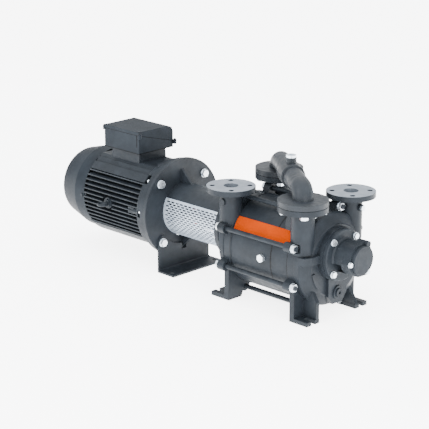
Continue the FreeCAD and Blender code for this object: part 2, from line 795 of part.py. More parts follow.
# Free end bearing housing and cap

def housing_bolt_points():
    return [polar(HOUSING_BOLT_PCD / 2.0, 45.0 + 90.0 * k) for k in range(4)]


def housing_bolt_shanks(gap):
    """Threaded part of the housing bolts inside the casing."""
    low = X_HOUSING - 2.0 * HOUSING_BOLT_R - gap
    return [cyl_x(low, X_HOUSING + 1.0, HOUSING_BOLT_R + gap, y, z) for y, z in housing_bolt_points()]


def lobed_plate(xa, xb, disc_r, lobe_r, lobe_at, angles):
    """Disc with rounded lobes joined to it by tangent sides."""
    shapes = [cyl_x(xa, xb, disc_r)]
    beta = math.acos((disc_r - lobe_r) / lobe_at) if lobe_at > disc_r - lobe_r else 0.0
    cos_b = math.cos(beta)
    sin_b = math.sin(beta)
    web = [(disc_r * cos_b, disc_r * sin_b), (lobe_at + lobe_r * cos_b, lobe_r * sin_b),
           (lobe_at + lobe_r * cos_b, -lobe_r * sin_b), (disc_r * cos_b, -disc_r * sin_b)]
    for angle in angles:
        y, z = polar(lobe_at, angle)
        shapes.append(cyl_x(xa, xb, lobe_r, y, z))
        shapes.append(turned_x(prism_x(web, xa, xb), angle))
    return fuse(shapes)


def bearing_housing():
    """Free end bearing bracket, open at both sides between flange and bearing seat."""
    flange_end = X_HOUSING + HOUSING_FLANGE_THK
    barrel = revolve_x([(X_HOUSING, 0.0), (X_HOUSING, HOUSING_FLANGE_R), (flange_end - 3.0, HOUSING_FLANGE_R),
                        (flange_end, HOUSING_FLANGE_R - 3.0), (flange_end, HOUSING_R + 5.0),
                        (flange_end + 5.0, HOUSING_R), (X_CAP, HOUSING_R), (X_CAP, 0.0)])
    end = lobed_plate(X_CAP - HOUSING_END_THK, X_CAP, CAP_DISC_R, CAP_LOBE_R, CAP_LOBE_AT, CAP_LOBES)
    boss_y, boss_z = polar(CAP_LOBE_AT, CAP_LOBES[0])
    boss = cyl_x(X_CAP - CAP_BOSS_BACK, X_CAP, CAP_LOBE_R, boss_y, boss_z)
    tools = [cyl_x(X_CAP - FREE_BEARING_W - 3.0, X_CAP + 1.0, FREE_BEARING_R + SEAT_GAP)]
    tools.append(cyl_x(X_HOUSING - 1.0, X_CAP, SEAL_SHAFT_R + 8.0))
    seat = X_CAP - FREE_BEARING_W - 7.0
    low_window = [(14.0, WINDOW_UPPER_Z), (HOUSING_R + 10.0, WINDOW_UPPER_Z),
                  (HOUSING_R + 10.0, WINDOW_LOWER_Z), (16.0, WINDOW_LOWER_Z)]
    tools.append(prism_x(low_window, flange_end, seat))
    tools.append(prism_x([(-y, z) for y, z in low_window], flange_end, seat))
    for y, z in housing_bolt_points():
        tools.append(cyl_x(X_HOUSING - 1.0, flange_end + 1.0, HOUSING_BOLT_R + HOLE_GAP, y, z))
    for angle in CAP_LOBES[1:]:
        y, z = polar(CAP_LOBE_AT, angle)
        tools.append(cyl_x(X_CAP - 2.0 * CAP_BOLT_R, X_CAP + 1.0, CAP_BOLT_R + SEAT_GAP, y, z))
    return cut(fuse([barrel, end, boss]), tools)


def bearing_cap():
    """Three lobed cover with a raised round nose and a grease boss."""
    plate = lobed_plate(X_CAP, X_CAP_FACE, CAP_DISC_R, CAP_LOBE_R, CAP_LOBE_AT, CAP_LOBES)
    nose_end = X_CAP_FACE + CAP_NOSE_LEN
    nose = round_ends(cyl_x(X_CAP_FACE - 2.0, nose_end, CAP_NOSE_R), 3.0, nose_end)
    y, z = polar(CAP_LOBE_AT, CAP_LOBES[0])
    boss = cyl_x(X_CAP, X_CAP_FACE + CAP_BOSS_LEN, CAP_LOBE_R, y, z)
    tools = [cyl_x(X_CAP - 1.0, X_CAP + 14.0, FREE_BEARING_R - 4.0)]
    for angle in CAP_LOBES[1:]:
        y, z = polar(CAP_LOBE_AT, angle)
        tools.append(cyl_x(X_CAP - 1.0, X_CAP_FACE + 1.0, CAP_BOLT_R + HOLE_GAP / 2.0, y, z))
        tools.append(cyl_x(X_CAP_FACE, X_CAP_FACE + CAP_NOSE_LEN + 1.0, CAP_LOBE_R - 1.0, y, z))
    return cut(fuse([plate, nose, boss]), tools)


def housing_bolts():
    bolt = hex_bolt(HOUSING_BOLT_R, HOUSING_FLANGE_THK + 2.0 * HOUSING_BOLT_R - 1.0)
    x = X_HOUSING + HOUSING_FLANGE_THK
    return [aimed(bolt, V(x, y, z), V(1, 0, 0)) for y, z in housing_bolt_points()]


def cap_bolts():
    bolt = hex_bolt(CAP_BOLT_R, CAP_FLANGE_THK + 2.0 * CAP_BOLT_R - 1.0)
    bolts = []
    for angle in CAP_LOBES[1:]:
        y, z = polar(CAP_LOBE_AT, angle)
        bolts.append(aimed(bolt, V(X_CAP_FACE, y, z), V(1, 0, 0)))
    return bolts


def bearing_cover():
    """Ring that holds the drive end bearing in its hub."""
    return tube_x(X_HUB_END - BEARING_COVER_THK, X_HUB_END, DRIVE_HUB_R, DRIVE_BEARING_SHAFT_R + SHAFT_HOLE_GAP)


# Bearings, seals and shaft of the pump

def bearing_outer(xa, width, r_out, r_shaft):
    """Outer ring of a shielded ball bearing."""
    race = (r_out + r_shaft) / 2.0
    ring = tube_x(xa, xa + width, r_out, race + 2.0)
    shields = []
    for x in (xa + 1.0, xa + width - 2.5):
        shields.append(tube_x(x, x + 1.5, race + 3.0, race - 2.0 + RUN_GAP))
    return fuse([ring] + shields)


def bearing_inner(xa, width, r_out, r_shaft):
    """Inner ring of a shielded ball bearing."""
    race = (r_out + r_shaft) / 2.0
    return tube_x(xa, xa + width, race - 2.0, r_shaft + SEAT_GAP)


def pump_bearing_list():
    drive = (X_HUB_END, DRIVE_BEARING_W, DRIVE_BEARING_R, DRIVE_BEARING_SHAFT_R)
    free = (X_CAP - FREE_BEARING_W, FREE_BEARING_W, FREE_BEARING_R, FREE_BEARING_SHAFT_R)
    return [drive, free]


def bearing_outers():
    """Outer rings of all four bearings; they stand still with the housings."""
    return [bearing_outer(*values) for values in pump_bearing_list() + motor_bearing_list()]


def pump_bearing_inners():
    return [bearing_inner(*values) for values in pump_bearing_list()]


def seal_list():
    """Port station and outward direction of each shaft seal."""
    return [(0.0, -1.0), (X_FREE_PORT, 1.0)]


def seal_seats():
    seats = []
    for port_x, side in seal_list():
        stop = port_x + side * SEAL_BORE_END
        start = stop - side * SEAL_SEAT_LEN
        low = min(start, stop)
        high = max(start, stop)
        seats.append(tube_x(low, high, SEAL_BORE_R - SEAT_GAP, SEAL_SHAFT_R + SHAFT_HOLE_GAP))
    return seats


def seal_rings():
    """Turning half of each seal, on the shaft just behind the seat."""
    rings = []
    for port_x, side in seal_list():
        stop = port_x + side * (SEAL_BORE_END - SEAL_SEAT_LEN - RUN_GAP)
        start = port_x + side * (SEAL_BORE_START + RUN_GAP)
        low = min(start, stop)
        high = max(start, stop)
        body = tube_x(low, high, SEAL_BORE_R - 3.0, SEAL_SHAFT_R + SEAT_GAP)
        middle = (low + high) / 2.0
        groove = tube_x(middle - 3.0, middle + 3.0, SEAL_BORE_R, SEAL_BORE_R - 6.0)
        rings.append(body.cut(groove))
    return rings


def x_pump_shaft_end():
    """Motor side end of the pump shaft, one jaw length from the motor shaft hub."""
    return X_MOTOR + MOTOR_SHAFT_EXT + JAW_LEN + 2.0


def pump_shaft():
    """Stepped shaft through both stages."""
    throat_a = -SEAL_BORE_START - RUN_GAP
    throat_b = X_FREE_PORT + SEAL_BORE_START + RUN_GAP
    bearing_a = X_HUB_END + DRIVE_BEARING_W
    bearing_b = X_CAP - FREE_BEARING_W
    steps = [
        cyl_x(throat_a, throat_b, SHAFT_R),
        cyl_x(bearing_a, throat_a, SEAL_SHAFT_R),
        cyl_x(X_HUB_END - BEARING_COVER_THK - 4.0, bearing_a, DRIVE_BEARING_SHAFT_R),
        cyl_x(x_pump_shaft_end(), X_HUB_END, COUPLING_SHAFT_R),
        cyl_x(throat_b, bearing_b, SEAL_SHAFT_R),
        cyl_x(bearing_b, X_CAP + SHAFT_NUT_LEN + 3.0, FREE_BEARING_SHAFT_R),
    ]
    return fuse(steps)


def shaft_nut():
    """Round nut with key slots behind the free end bearing."""
    nut = tube_x(X_CAP + RUN_GAP, X_CAP + RUN_GAP + SHAFT_NUT_LEN, FREE_BEARING_SHAFT_R + 8.0,
                 FREE_BEARING_SHAFT_R + SEAT_GAP)
    slots = []
    for k in range(4):
        r = FREE_BEARING_SHAFT_R + 8.0
        slot = block(X_CAP, X_CAP + SHAFT_NUT_LEN + 2.0, r - 2.5, r + 2.0, -2.5, 2.5)
        slots.append(turned_x(slot, 90.0 * k))
    return cut(nut, slots)


# Impellers

def blade_face(xa):
    """Outline of one curved blade that leaves the hub along +Y and sweeps forward."""
    r0 = IMPELLER_HUB_R - 3.0
    r1 = IMPELLER_R + 2.0
    half = BLADE_THK / 2.0

    def side(r, sign):
        share = (r - r0) / (r1 - r0)
        angle = BLADE_SWEEP * share * share
        dy, dz = polar(r, angle)
        ny, nz = polar(half, angle + 90.0)
        return V(xa, dy + sign * ny, dz + sign * nz)

    middle = (r0 + r1) / 2.0
    edges = [
        Part.Arc(side(r0, 1.0), side(middle, 1.0), side(r1, 1.0)).toShape(),
        Part.makeLine(side(r1, 1.0), side(r1, -1.0)),
        Part.Arc(side(r1, -1.0), side(middle, -1.0), side(r0, -1.0)).toShape(),
        Part.makeLine(side(r0, -1.0), side(r0, 1.0)),
    ]
    return Part.Face(Part.Wire(edges))


def impeller(xa, xb, disc_stations):
    """Hub with curved blades, stiffened by thin discs."""
    blade = blade_face(xa).extrude(V(xb - xa, 0, 0)).common(cyl_x(xa, xb, IMPELLER_R))
    shapes = [cyl_x(xa, xb, IMPELLER_HUB_R)]
    for k in range(BLADES):
        shapes.append(turned_x(blade, k * 360.0 / BLADES))
    for x in disc_stations:
        shapes.append(cyl_x(x, x + IMPELLER_DISC_THK, IMPELLER_R - 14.0))
    bore = cyl_x(xa - 1.0, xb + 1.0, SHAFT_R + SEAT_GAP)
    return fuse(shapes).cut(bore)


def stage1_impeller():
    xa = X_JOINT1 + RUN_GAP
    xb = X_MID - RUN_GAP
    middle = (xa + xb - IMPELLER_DISC_THK) / 2.0
    return impeller(xa, xb, [middle])


def stage2_impeller():
    xa = X_MID + PORT_PLATE_THK + RUN_GAP
    xb = X_JOINT2 - RUN_GAP
    return impeller(xa, xb, [xa])


# Manifold

def manifold_ends():
    """Port centres that the manifold joins, as points on the port face."""
    front = V(X_FREE_PORT, -PORT_OFFSET, PORT_FACE)
    back = V(0.0, PORT_OFFSET, PORT_FACE)
    return front, back


def pipe_run(radius):
    """Round bar along the manifold: up, across on the diagonal and down again."""
    front, back = manifold_ends()
    along = (back - front).normalize()
    side = V(0, 0, 1).cross(along)
    z_low = PORT_FACE + GASKET_THK
    z_mid = PORT_FACE + PIPE_HEIGHT
    shapes = []
    for foot, way in ((front, along), (back, along.negative())):
        leg_top = z_mid - PIPE_BEND
        if leg_top > z_low:
            shapes.append(cyl_z(z_low, leg_top, radius, foot.x, foot.y))
        start = V(foot.x, foot.y, leg_top)
        section = Part.Face(Part.Wire(Part.makeCircle(radius, start, V(0, 0, 1))))
        pivot = start + way * PIPE_BEND
        turn = side if way == along else side.negative()
        shapes.append(section.revolve(pivot, turn, 90))
    a = V(front.x, front.y, z_mid) + along * PIPE_BEND
    b = V(back.x, back.y, z_mid) - along * PIPE_BEND
    shapes.append(Part.makeCylinder(radius, (b - a).Length, a, along))
    return shapes


def tee_centre():
    front, back = manifold_ends()
    middle = (front + back) * 0.5
    return V(middle.x, middle.y, PORT_FACE + PIPE_HEIGHT)


def interstage_manifold():
    """Pipe from the first stage outlet to the second stage inlet."""
    front, back = manifold_ends()
    along = (back - front).normalize()
    z0 = PORT_FACE + GASKET_THK
    z1 = z0 + FLANGE_THK
    centre = tee_centre()
    solids = pipe_run(PIPE_R)
    tee_start = centre - along * (TEE_LEN / 2.0)
    tee = Part.makeCylinder(TEE_R, TEE_LEN, tee_start, along)
    rims = [e for e in tee.Edges if e.Closed]
    solids.append(tee.makeFillet(5.0, rims))
    solids.append(cyl_z(centre.z, centre.z + TEE_BOSS_HEIGHT, TEE_BOSS_R, centre.x, centre.y))
    bore = pipe_run(PORT_R)
    tools = []
    for foot in (front, back):
        solids.append(cyl_z(z0, z1, FLANGE_R, foot.x, foot.y))
        bore.append(cyl_z(z0 - 1.0, z0 + 2.0, PORT_R, foot.x, foot.y))
        for x, y in flange_points(foot.x, foot.y):
            tools.append(cyl_z(z0 - 1.0, z1 - 3.0, FLANGE_BOLT_R + SEAT_GAP, x, y))
    plug_hole = cyl_z(centre.z, centre.z + TEE_BOSS_HEIGHT + 1.0, 11.0 + SEAT_GAP, centre.x, centre.y)
    tools.append(plug_hole)
    return cut(fuse(solids).cut(fuse(bore)), tools)


def manifold_plug():
    centre = tee_centre()
    top = centre.z + TEE_BOSS_HEIGHT
    cap = cyl_z(top, top + TEE_PLUG_LEN, TEE_BOSS_R - 1.0, centre.x, centre.y)
    shank = cyl_z(top - 16.0, top + 1.0, 11.0, centre.x, centre.y)
    socket = aimed(hex_prism(14.0, 6.0), V(centre.x, centre.y, top + TEE_PLUG_LEN - 5.0), V(0, 0, 1))
    return fuse([cap, shank]).cut(socket)


def manifold_gaskets():
    rings = []
    top = PORT_FACE + GASKET_THK
    gasket_r = FLANGE_PCD / 2.0 - FLANGE_HOLE_R - 1.0
    for foot in manifold_ends():
        ring = cyl_z(PORT_FACE, top, gasket_r, foot.x, foot.y)
        rings.append(ring.cut(cyl_z(PORT_FACE - 1.0, top + 1.0, PORT_R + 1.0, foot.x, foot.y)))
    return rings


def manifold_bolts():
    bolt = hex_bolt(FLANGE_BOLT_R, 2.0 * FLANGE_THK + GASKET_THK - 5.0)
    bolts = []
    for foot in manifold_ends():
        for x, y in flange_points(foot.x, foot.y):
            bolts.append(aimed(bolt, V(x, y, PORT_FACE - FLANGE_THK), V(0, 0, -1)))
    return bolts


# Lantern with its guards and bracket

def motor_bolt_points():
    return [polar(MOTOR_PCD / 2.0, 45.0 + 90.0 * k) for k in range(4)]


def lantern_bolt_points():
    """Bolts that hold the lantern on the drive end casing."""
    return [polar(LANTERN_PUMP_FLANGE_R - 11.0, 12.5 + 90.0 * k) for k in range(4)]


def lantern_bolt_shanks(gap):
    deep = X_DRIVE_END + LANTERN_BOLT_DEPTH + RUN_GAP
    return [cyl_x(X_DRIVE_END - 1.0, deep, LANTERN_BOLT_R + gap, y, z) for y, z in lantern_bolt_points()]


def window_stations():
    front = X_LANTERN_FRONT + WINDOW_MARGIN
    rear = X_LANTERN - LANTERN_PUMP_FLANGE_THK - WINDOW_MARGIN
    return front, rear


def lantern():
    """Open tube between motor and pump with two side windows and stiffening ribs."""
    inner = LANTERN_R - LANTERN_WALL
    tube = cyl_x(X_MOTOR, X_LANTERN, LANTERN_R)
    big = cyl_x(X_MOTOR, X_LANTERN_FRONT, LANTERN_FLANGE_R)
    small = cyl_x(X_LANTERN - LANTERN_PUMP_FLANGE_THK, X_LANTERN, LANTERN_PUMP_FLANGE_R)
    solids = [tube, big, small]
    rib_run = 52.0
    rib = prism_y([(X_LANTERN_FRONT - 1.0, inner + 2.0), (X_LANTERN_FRONT - 1.0, LANTERN_FLANGE_R - 34.0),
                   (X_LANTERN_FRONT + rib_run, LANTERN_R - 1.0), (X_LANTERN_FRONT + rib_run, inner + 2.0)],
                  -RIB_THK / 2.0, RIB_THK / 2.0)
    for angle in (0.0, 180.0):
        solids.append(turned_x(rib, angle))
    front, rear = window_stations()
    tools = [cyl_x(X_MOTOR - 1.0, X_LANTERN + 1.0, inner)]
    tools.append(cyl_x(X_MOTOR - 1.0, X_MOTOR + SPIGOT_LEN + 0.5, SPIGOT_R + SEAT_GAP))
    tools.append(block(front, rear, -LANTERN_FLANGE_R, LANTERN_FLANGE_R, WINDOW_LOW, WINDOW_TOP))
    for y, z in motor_bolt_points():
        tools.append(cyl_x(X_MOTOR - 1.0, X_LANTERN_FRONT + 1.0, MOTOR_BOLT_R + HOLE_GAP, y, z))
    for y, z in lantern_bolt_points():
        tools.append(cyl_x(X_LANTERN - LANTERN_PUMP_FLANGE_THK - 1.0, X_LANTERN + 1.0,
                           LANTERN_BOLT_R + HOLE_GAP, y, z))
    for x, angle in guard_screw_places():
        tools.append(turned_x(cyl_y(inner - 1.0, LANTERN_R + 1.0, 2.5 + SEAT_GAP, x, 0.0), angle))
    return cut(fuse(solids), tools)


def window_angles():
    """Angles of the upper and lower window edge against the horizontal, both positive."""
    upper = math.degrees(math.asin(WINDOW_TOP / LANTERN_R))
    lower = math.degrees(math.asin(-WINDOW_LOW / LANTERN_R))
    return upper, lower


def guard_screw_places():
    """Screws that hold the guards, as station and angle about the shaft."""
    front, rear = window_stations()
    upper, lower = window_angles()
    half = GUARD_LAP_ANGLE / 2.0
    places = []
    for x in (front + 8.0, rear - 8.0):
        for turn in (upper + half, -lower - half, 180.0 - upper - half, 180.0 + lower + half):
            places.append((x, turn))
    return places


def guard(front_side):
    """Sheet bent over one window of the lantern; its fine perforation is left to the look."""
    front, rear = window_stations()
    upper, lower = window_angles()
    if front_side:
        start = 180.0 - upper
        stop = 180.0 + lower
    else:
        start = -lower
        stop = upper
    r_in = LANTERN_R + RUN_GAP
    r_out = r_in + GUARD_THK
    sheet = sector_x(front - 9.0, rear + 3.0, r_in, r_out, start - GUARD_LAP_ANGLE, stop + GUARD_LAP_ANGLE)
    tools = []
    for x, turn in guard_screw_places():
        if start - GUARD_LAP_ANGLE < turn < stop + GUARD_LAP_ANGLE:
            tools.append(turned_x(cyl_y(r_in - 3.0, r_out + 3.0, 3.0, x, 0.0), turn))
    return sheet.cut(tools)


def guard_front():
    return guard(True)


def guard_back():
    return guard(False)


def guard_screws():
    screws = []
    seat = LANTERN_R + RUN_GAP + GUARD_THK
    for x, turn in guard_screw_places():
        head = cyl_y(seat, seat + 3.0, 5.0, x, 0.0)
        shank = cyl_y(LANTERN_R - LANTERN_WALL + 0.5, seat + 1.0, 2.5, x, 0.0)
        screws.append(turned_x(fuse([head, shank]), turn))
    return screws


def lantern_bolts():
    """Bolts that clamp lantern and bearing bracket to the drive end casing."""
    bolt = hex_bolt(LANTERN_BOLT_R, LANTERN_PUMP_FLANGE_THK + DRIVE_BOSS_LEN + LANTERN_BOLT_DEPTH)
    x = X_LANTERN - LANTERN_PUMP_FLANGE_THK
    return [aimed(bolt, V(x, y, z), V(-1, 0, 0)) for y, z in lantern_bolt_points()]


def motor_bolts():
    """Bolts between motor flange and lantern; the lower two also hold the bracket."""
    bolts = []
    for y, z in motor_bolt_points():
        seat = X_LANTERN_FRONT + (BRACKET_THK if z < 0.0 else 0.0)
        length = seat - X_MOTOR + MOTOR_FLANGE_THK + 16.0
        bolts.append(aimed(hex_bolt(MOTOR_BOLT_R, length), V(seat, y, z), V(1, 0, 0)))
    return bolts


def motor_bolt_nuts():
    nut = hex_nut(MOTOR_BOLT_R, bolt_head_height(MOTOR_BOLT_R))
    return [aimed(nut, V(X_MOTOR - MOTOR_FLANGE_THK, y, z), V(-1, 0, 0)) for y, z in motor_bolt_points()]


def foot_bracket():
    """Bent sheet bracket: upright plate on the lantern flange and a foot with two holes."""
    x0 = X_LANTERN_FRONT
    x1 = x0 + BRACKET_THK
    chamfer = 18.0
    outline = [(-BRACKET_HALF, Z_BASE), (BRACKET_HALF, Z_BASE), (BRACKET_HALF, BRACKET_TOP - chamfer),
               (BRACKET_HALF - chamfer, BRACKET_TOP), (-BRACKET_HALF + chamfer, BRACKET_TOP),
               (-BRACKET_HALF, BRACKET_TOP - chamfer)]
    upright = prism_x(outline, x0, x1)
    foot = block(x0, x0 + BRACKET_DEPTH, -BRACKET_HALF, BRACKET_HALF, Z_BASE, Z_BASE + BRACKET_THK)
    root = prism_y([(x1 - 0.5, Z_BASE + BRACKET_THK - 0.5), (x1 + 5.0, Z_BASE + BRACKET_THK - 0.5),
                    (x1 + 1.5, Z_BASE + BRACKET_THK + 1.5), (x1 - 0.5, Z_BASE + BRACKET_THK + 5.0)],
                   -BRACKET_HALF, BRACKET_HALF)
    tools = [cyl_x(x0 - 1.0, x1 + 1.0, BRACKET_ARC_R)]
    tools.append(block(x0 - 1.0, x1 + 1.0, -RIB_THK, RIB_THK, -LANTERN_FLANGE_R + 30.0, BRACKET_TOP))
    for y, z in motor_bolt_points()[2:]:
        tools.append(cyl_x(x0 - 1.0, x1 + 1.0, MOTOR_BOLT_R + HOLE_GAP, y, z))
    for y in (-BRACKET_HOLE_Y, BRACKET_HOLE_Y):
        tools.append(cyl_z(Z_BASE - 1.0, Z_BASE + BRACKET_THK + 1.0, BRACKET_HOLE_R,
                           x0 + BRACKET_HOLE_BACK, y))
    return cut(fuse([upright, foot, root]), tools)


# Motor

def shield_bolt_points():
    """Bolts that hold the flange shield on the frame."""
    return [polar(FIN_R - SHIELD_BOLT_INSET, angle) for angle in (0.0, 180.0, 270.0)]


def flange_shield():
    """Motor flange with its bearing hub."""
    x1 = X_MOTOR - MOTOR_FLANGE_THK
    x2 = X_FRAME
    hub_end = X_MOTOR - 12.0 - MOTOR_BEARING_W
    flange = cyl_x(X_MOTOR, x1, MOTOR_FLANGE_R)
    bell = round_ends(cyl_x(x1, x2, SHIELD_R), 6.0, x2)
    spigot = cyl_x(X_MOTOR, X_MOTOR + SPIGOT_LEN, SPIGOT_R)
    register = cyl_x(x2, x2 - 8.0, FRAME_BORE_R - SEAT_GAP)
    tools = [cyl_x(X_MOTOR - 12.0, hub_end - 1.0, MOTOR_BEARING_R + SEAT_GAP)]
    tools.append(cyl_x(hub_end, x2 - 9.0, MOTOR_BEARING_R - 8.0))
    tools.append(cyl_x(X_MOTOR - 13.0, X_MOTOR + SPIGOT_LEN + 1.0, MOTOR_BEARING_SHAFT_R + SHAFT_HOLE_GAP))
    for y, z in motor_bolt_points():
        tools.append(cyl_x(x1 - 1.0, X_MOTOR + 1.0, MOTOR_BOLT_R + HOLE_GAP, y, z))
        pocket = cyl_x(x1, x2 - 1.0, 21.0, y, z)
        outward = cyl_x(x1, x2 - 1.0, 21.0, y * 1.15, z * 1.15)
        tools.append(pocket)
        tools.append(outward)
    for y, z in shield_bolt_points():
        tools.append(cyl_x(x2 - 1.0, x2 + 9.0, SHIELD_BOLT_R + HOLE_GAP, y, z))
        tools.append(cyl_x(x2 + 8.0, x1 - 2.0, 12.0, y, z))
        tools.append(cyl_x(x2 + 8.0, x1 - 2.0, 12.0, y * 1.12, z * 1.12))
    return cut(fuse([flange, bell, spigot, register]), tools)


def shield_bolts():
    bolt = hex_bolt(SHIELD_BOLT_R, 22.0)
    return [aimed(bolt, V(X_FRAME + 8.0, y, z), V(1, 0, 0)) for y, z in shield_bolt_points()]


def fin_box(z, side, xa, xb):
    """One cooling fin at a height, from the frame wall out to the fin circle."""
    out = math.sqrt(FIN_R * FIN_R - z * z)
    root = math.sqrt(max(0.0, (FRAME_R - 4.0) ** 2 - z * z)) - 2.0
    return block(xa, xb, side * root, side * out, z - FIN_THK / 2.0, z + FIN_THK / 2.0)


def motor_frame():
    """Finned housing with shoulders, a seat for the terminal box and bottom rails."""
    xa = X_FRAME_END
    xb = X_FRAME
    fin_a = xa + 10.0
    fin_b = xb - 6.0
    fins = []
    half = (FINS_EACH_SIDE - 1) / 2.0
    for k in range(FINS_EACH_SIDE):
        for side in (-1.0, 1.0):
            fins.append(fin_box((k - half) * FIN_PITCH, side, fin_a, fin_b))
    gap = cyl_y(-FRAME_R, -FIN_R - 1.0, 27.0, eye_x(), 0.0)
    solids = [cyl_x(xa, xb, FRAME_R)] + [fin.cut(gap) for fin in fins]
    for a0, a1 in ((221.0, 248.0), (292.0, 319.0)):
        solids.append(sector_x(fin_a, fin_b, FRAME_R - 3.0, FIN_R, a0, a1))
    for k in range(-2, 3):
        y = k * FIN_PITCH
        depth = math.sqrt(FIN_R * FIN_R - y * y)
        solids.append(block(fin_a, fin_b, y - FIN_THK / 2.0, y + FIN_THK / 2.0, -depth, -FRAME_R + 12.0))
    shoulder = [(121.0, 101.0), (98.0, 124.0), (93.0, 121.0), (80.0, 137.0), (76.0, 134.0), (62.0, 147.0)]
    mirrored = [(-y, z) for y, z in reversed(shoulder)]
    solids.append(prism_x(shoulder + mirrored + [(-90.0, 88.0), (90.0, 88.0)], fin_a, fin_b))
    seat = [(-SEAT_HALF - 3.0, 140.0), (-SEAT_HALF, BOX_BOTTOM), (SEAT_HALF, BOX_BOTTOM),
            (SEAT_HALF + 3.0, 140.0)]
    solids.append(prism_x(seat, BOX_X - SEAT_LEN / 2.0, BOX_X + SEAT_LEN / 2.0))
    solids.append(cyl_y(-FRAME_R + 4.0, -EYE_SEAT, 20.0, eye_x(), 0.0))
    lug = block(xb - 56.0, xb - 25.0, FRAME_R - 4.0, FIN_R - 3.0, -FIN_PITCH * 0.7, FIN_PITCH * 0.7)
    solids.append(turned_x(lug, 180.0))
    for y, z in shield_bolt_points():
        solids.append(cyl_x(xb - 26.0, xb, 2.0 * SHIELD_BOLT_R + 1.0, y, z))
        web = block(xb - 26.0, xb, FRAME_R - 6.0, FIN_R - SHIELD_BOLT_INSET,
                    -2.0 * SHIELD_BOLT_R - 1.0, 2.0 * SHIELD_BOLT_R + 1.0)
        solids.append(turned_x(web, math.degrees(math.atan2(z, y))))
    for angle in (0.0, 180.0, 270.0):
        reach = math.sqrt((COWL_R - COWL_THK - SEAT_GAP) ** 2 - 81.0)
        foot = block(xa - 14.0, xa + 12.0, FRAME_R - 1.0, reach, -9.0, 9.0)
        solids.append(turned_x(foot, angle))
    tools = [cyl_x(xa - 1.0, xb + 1.0, FRAME_BORE_R)]
    for y, z in shield_bolt_points():
        tools.append(cyl_x(xb - 16.0, xb + 1.0, SHIELD_BOLT_R + SEAT_GAP, y, z))
    for angle in (0.0, 180.0, 270.0):
        tools.append(turned_x(cyl_y(FRAME_R + 4.0, COWL_R + 1.0, 3.0 + SEAT_GAP, cowl_screw_x(), 0.0), angle))
    tools.append(eye_shank(SEAT_GAP))
    return cut(fuse(solids), tools)


def cowl_screw_x():
    return X_FRAME_END - 7.0


def eye_x():
    return X_FRAME_END + 138.0


def eye_shank(gap):
    return cyl_y(-EYE_SEAT - 1.0, -FRAME_R + 6.0, 7.0 + gap, eye_x(), 0.0)


def lifting_eye():
    """Screwed eye with its collar on the front side of the frame."""
    x = eye_x()
    collar = cyl_y(-EYE_SEAT, -EYE_SEAT - 6.0, 15.0, x, 0.0)
    neck = cyl_y(-EYE_SEAT - 5.0, -EYE_SEAT - EYE_NECK - 2.0, 8.0, x, 0.0)
    shank = cyl_y(-EYE_SEAT - 1.0, -FRAME_R + 5.0, 7.0, x, 0.0)
    centre = V(x, -EYE_SEAT - EYE_NECK - EYE_RING_R, 0.0)
    ring = Part.makeTorus(EYE_RING_R, EYE_BAR_R, centre, V(0, 0, 1))
    return fuse([collar, neck, shank, ring])


def rear_shield():
    """Plate with the rear bearing hub, inside the fan cowl."""
    xa = X_FRAME_END
    plate = cyl_x(xa, xa - 9.0, FRAME_R - 2.0)
    register = tube_x(xa, xa + 8.0, FRAME_BORE_R - SEAT_GAP, FRAME_BORE_R - 10.0)
    hub = cyl_x(xa, xa + MOTOR_BEARING_W + 4.0, MOTOR_BEARING_R + 10.0)
    seat = cyl_x(xa - 5.0, xa + MOTOR_BEARING_W + 5.0, MOTOR_BEARING_R + SEAT_GAP)
    hole = cyl_x(xa - 10.0, xa, MOTOR_BEARING_SHAFT_R + SHAFT_HOLE_GAP)
    return cut(fuse([plate, register, hub]), [seat, hole])


def motor_bearing_list():
    drive = X_MOTOR - 12.0 - MOTOR_BEARING_W
    rear = X_FRAME_END - 5.0
    return [(x, MOTOR_BEARING_W, MOTOR_BEARING_R, MOTOR_BEARING_SHAFT_R) for x in (drive, rear)]


def motor_bearing_inners():
    return [bearing_inner(*values) for values in motor_bearing_list()]


def stator_start():
    return X_FRAME_END + (FRAME_LEN - STATOR_LEN) / 2.0


def stator_core():
    """Laminated ring with slots for the windings."""
    xa = stator_start()
    ring = tube_x(xa, xa + STATOR_LEN, FRAME_BORE_R - SEAT_GAP, STATOR_BORE_R)
    slots = []
    for k in range(12):
        slot = block(xa - 1.0, xa + STATOR_LEN + 1.0, STATOR_BORE_R - 2.0, STATOR_BORE_R + 20.0, -5.0, 5.0)
        slots.append(turned_x(slot, k * 30.0))
    return cut(ring, slots)


def stator_windings():
    """End turns of the windings on both faces of the stator."""
    xa = stator_start()
    xb = xa + STATOR_LEN
    rings = []
    for x0, x1 in ((xa - 30.0, xa), (xb, xb + 30.0)):
        rings.append(tube_x(x0, x1, STATOR_BORE_R + 24.0, STATOR_BORE_R + 3.0))
    return rings


def motor_shaft():
    """Stepped motor shaft from the coupling to the fan."""
    drive = X_MOTOR - 12.0 - MOTOR_BEARING_W
    steps = [
        cyl_x(X_MOTOR, X_MOTOR + MOTOR_SHAFT_EXT, MOTOR_SHAFT_R),
        cyl_x(drive, X_MOTOR, MOTOR_BEARING_SHAFT_R),
        cyl_x(X_FRAME_END + MOTOR_BEARING_W - 5.0, drive, ROTOR_SHAFT_R),
        cyl_x(X_FRAME_END - 14.0, X_FRAME_END + MOTOR_BEARING_W, MOTOR_BEARING_SHAFT_R),
        cyl_x(X_FRAME_END - 22.0 - FAN_LEN, X_FRAME_END, MOTOR_SHAFT_R),
    ]
    return fuse(steps)


def rotor_core():
    xa = stator_start()
    r_out = STATOR_BORE_R - 1.0
    core = tube_x(xa, xa + STATOR_LEN, r_out, ROTOR_SHAFT_R + SEAT_GAP)
    rings = [tube_x(xa - 14.0, xa, r_out - 4.0, r_out - 26.0),
             tube_x(xa + STATOR_LEN, xa + STATOR_LEN + 14.0, r_out - 4.0, r_out - 26.0)]
    return fuse([core] + rings)


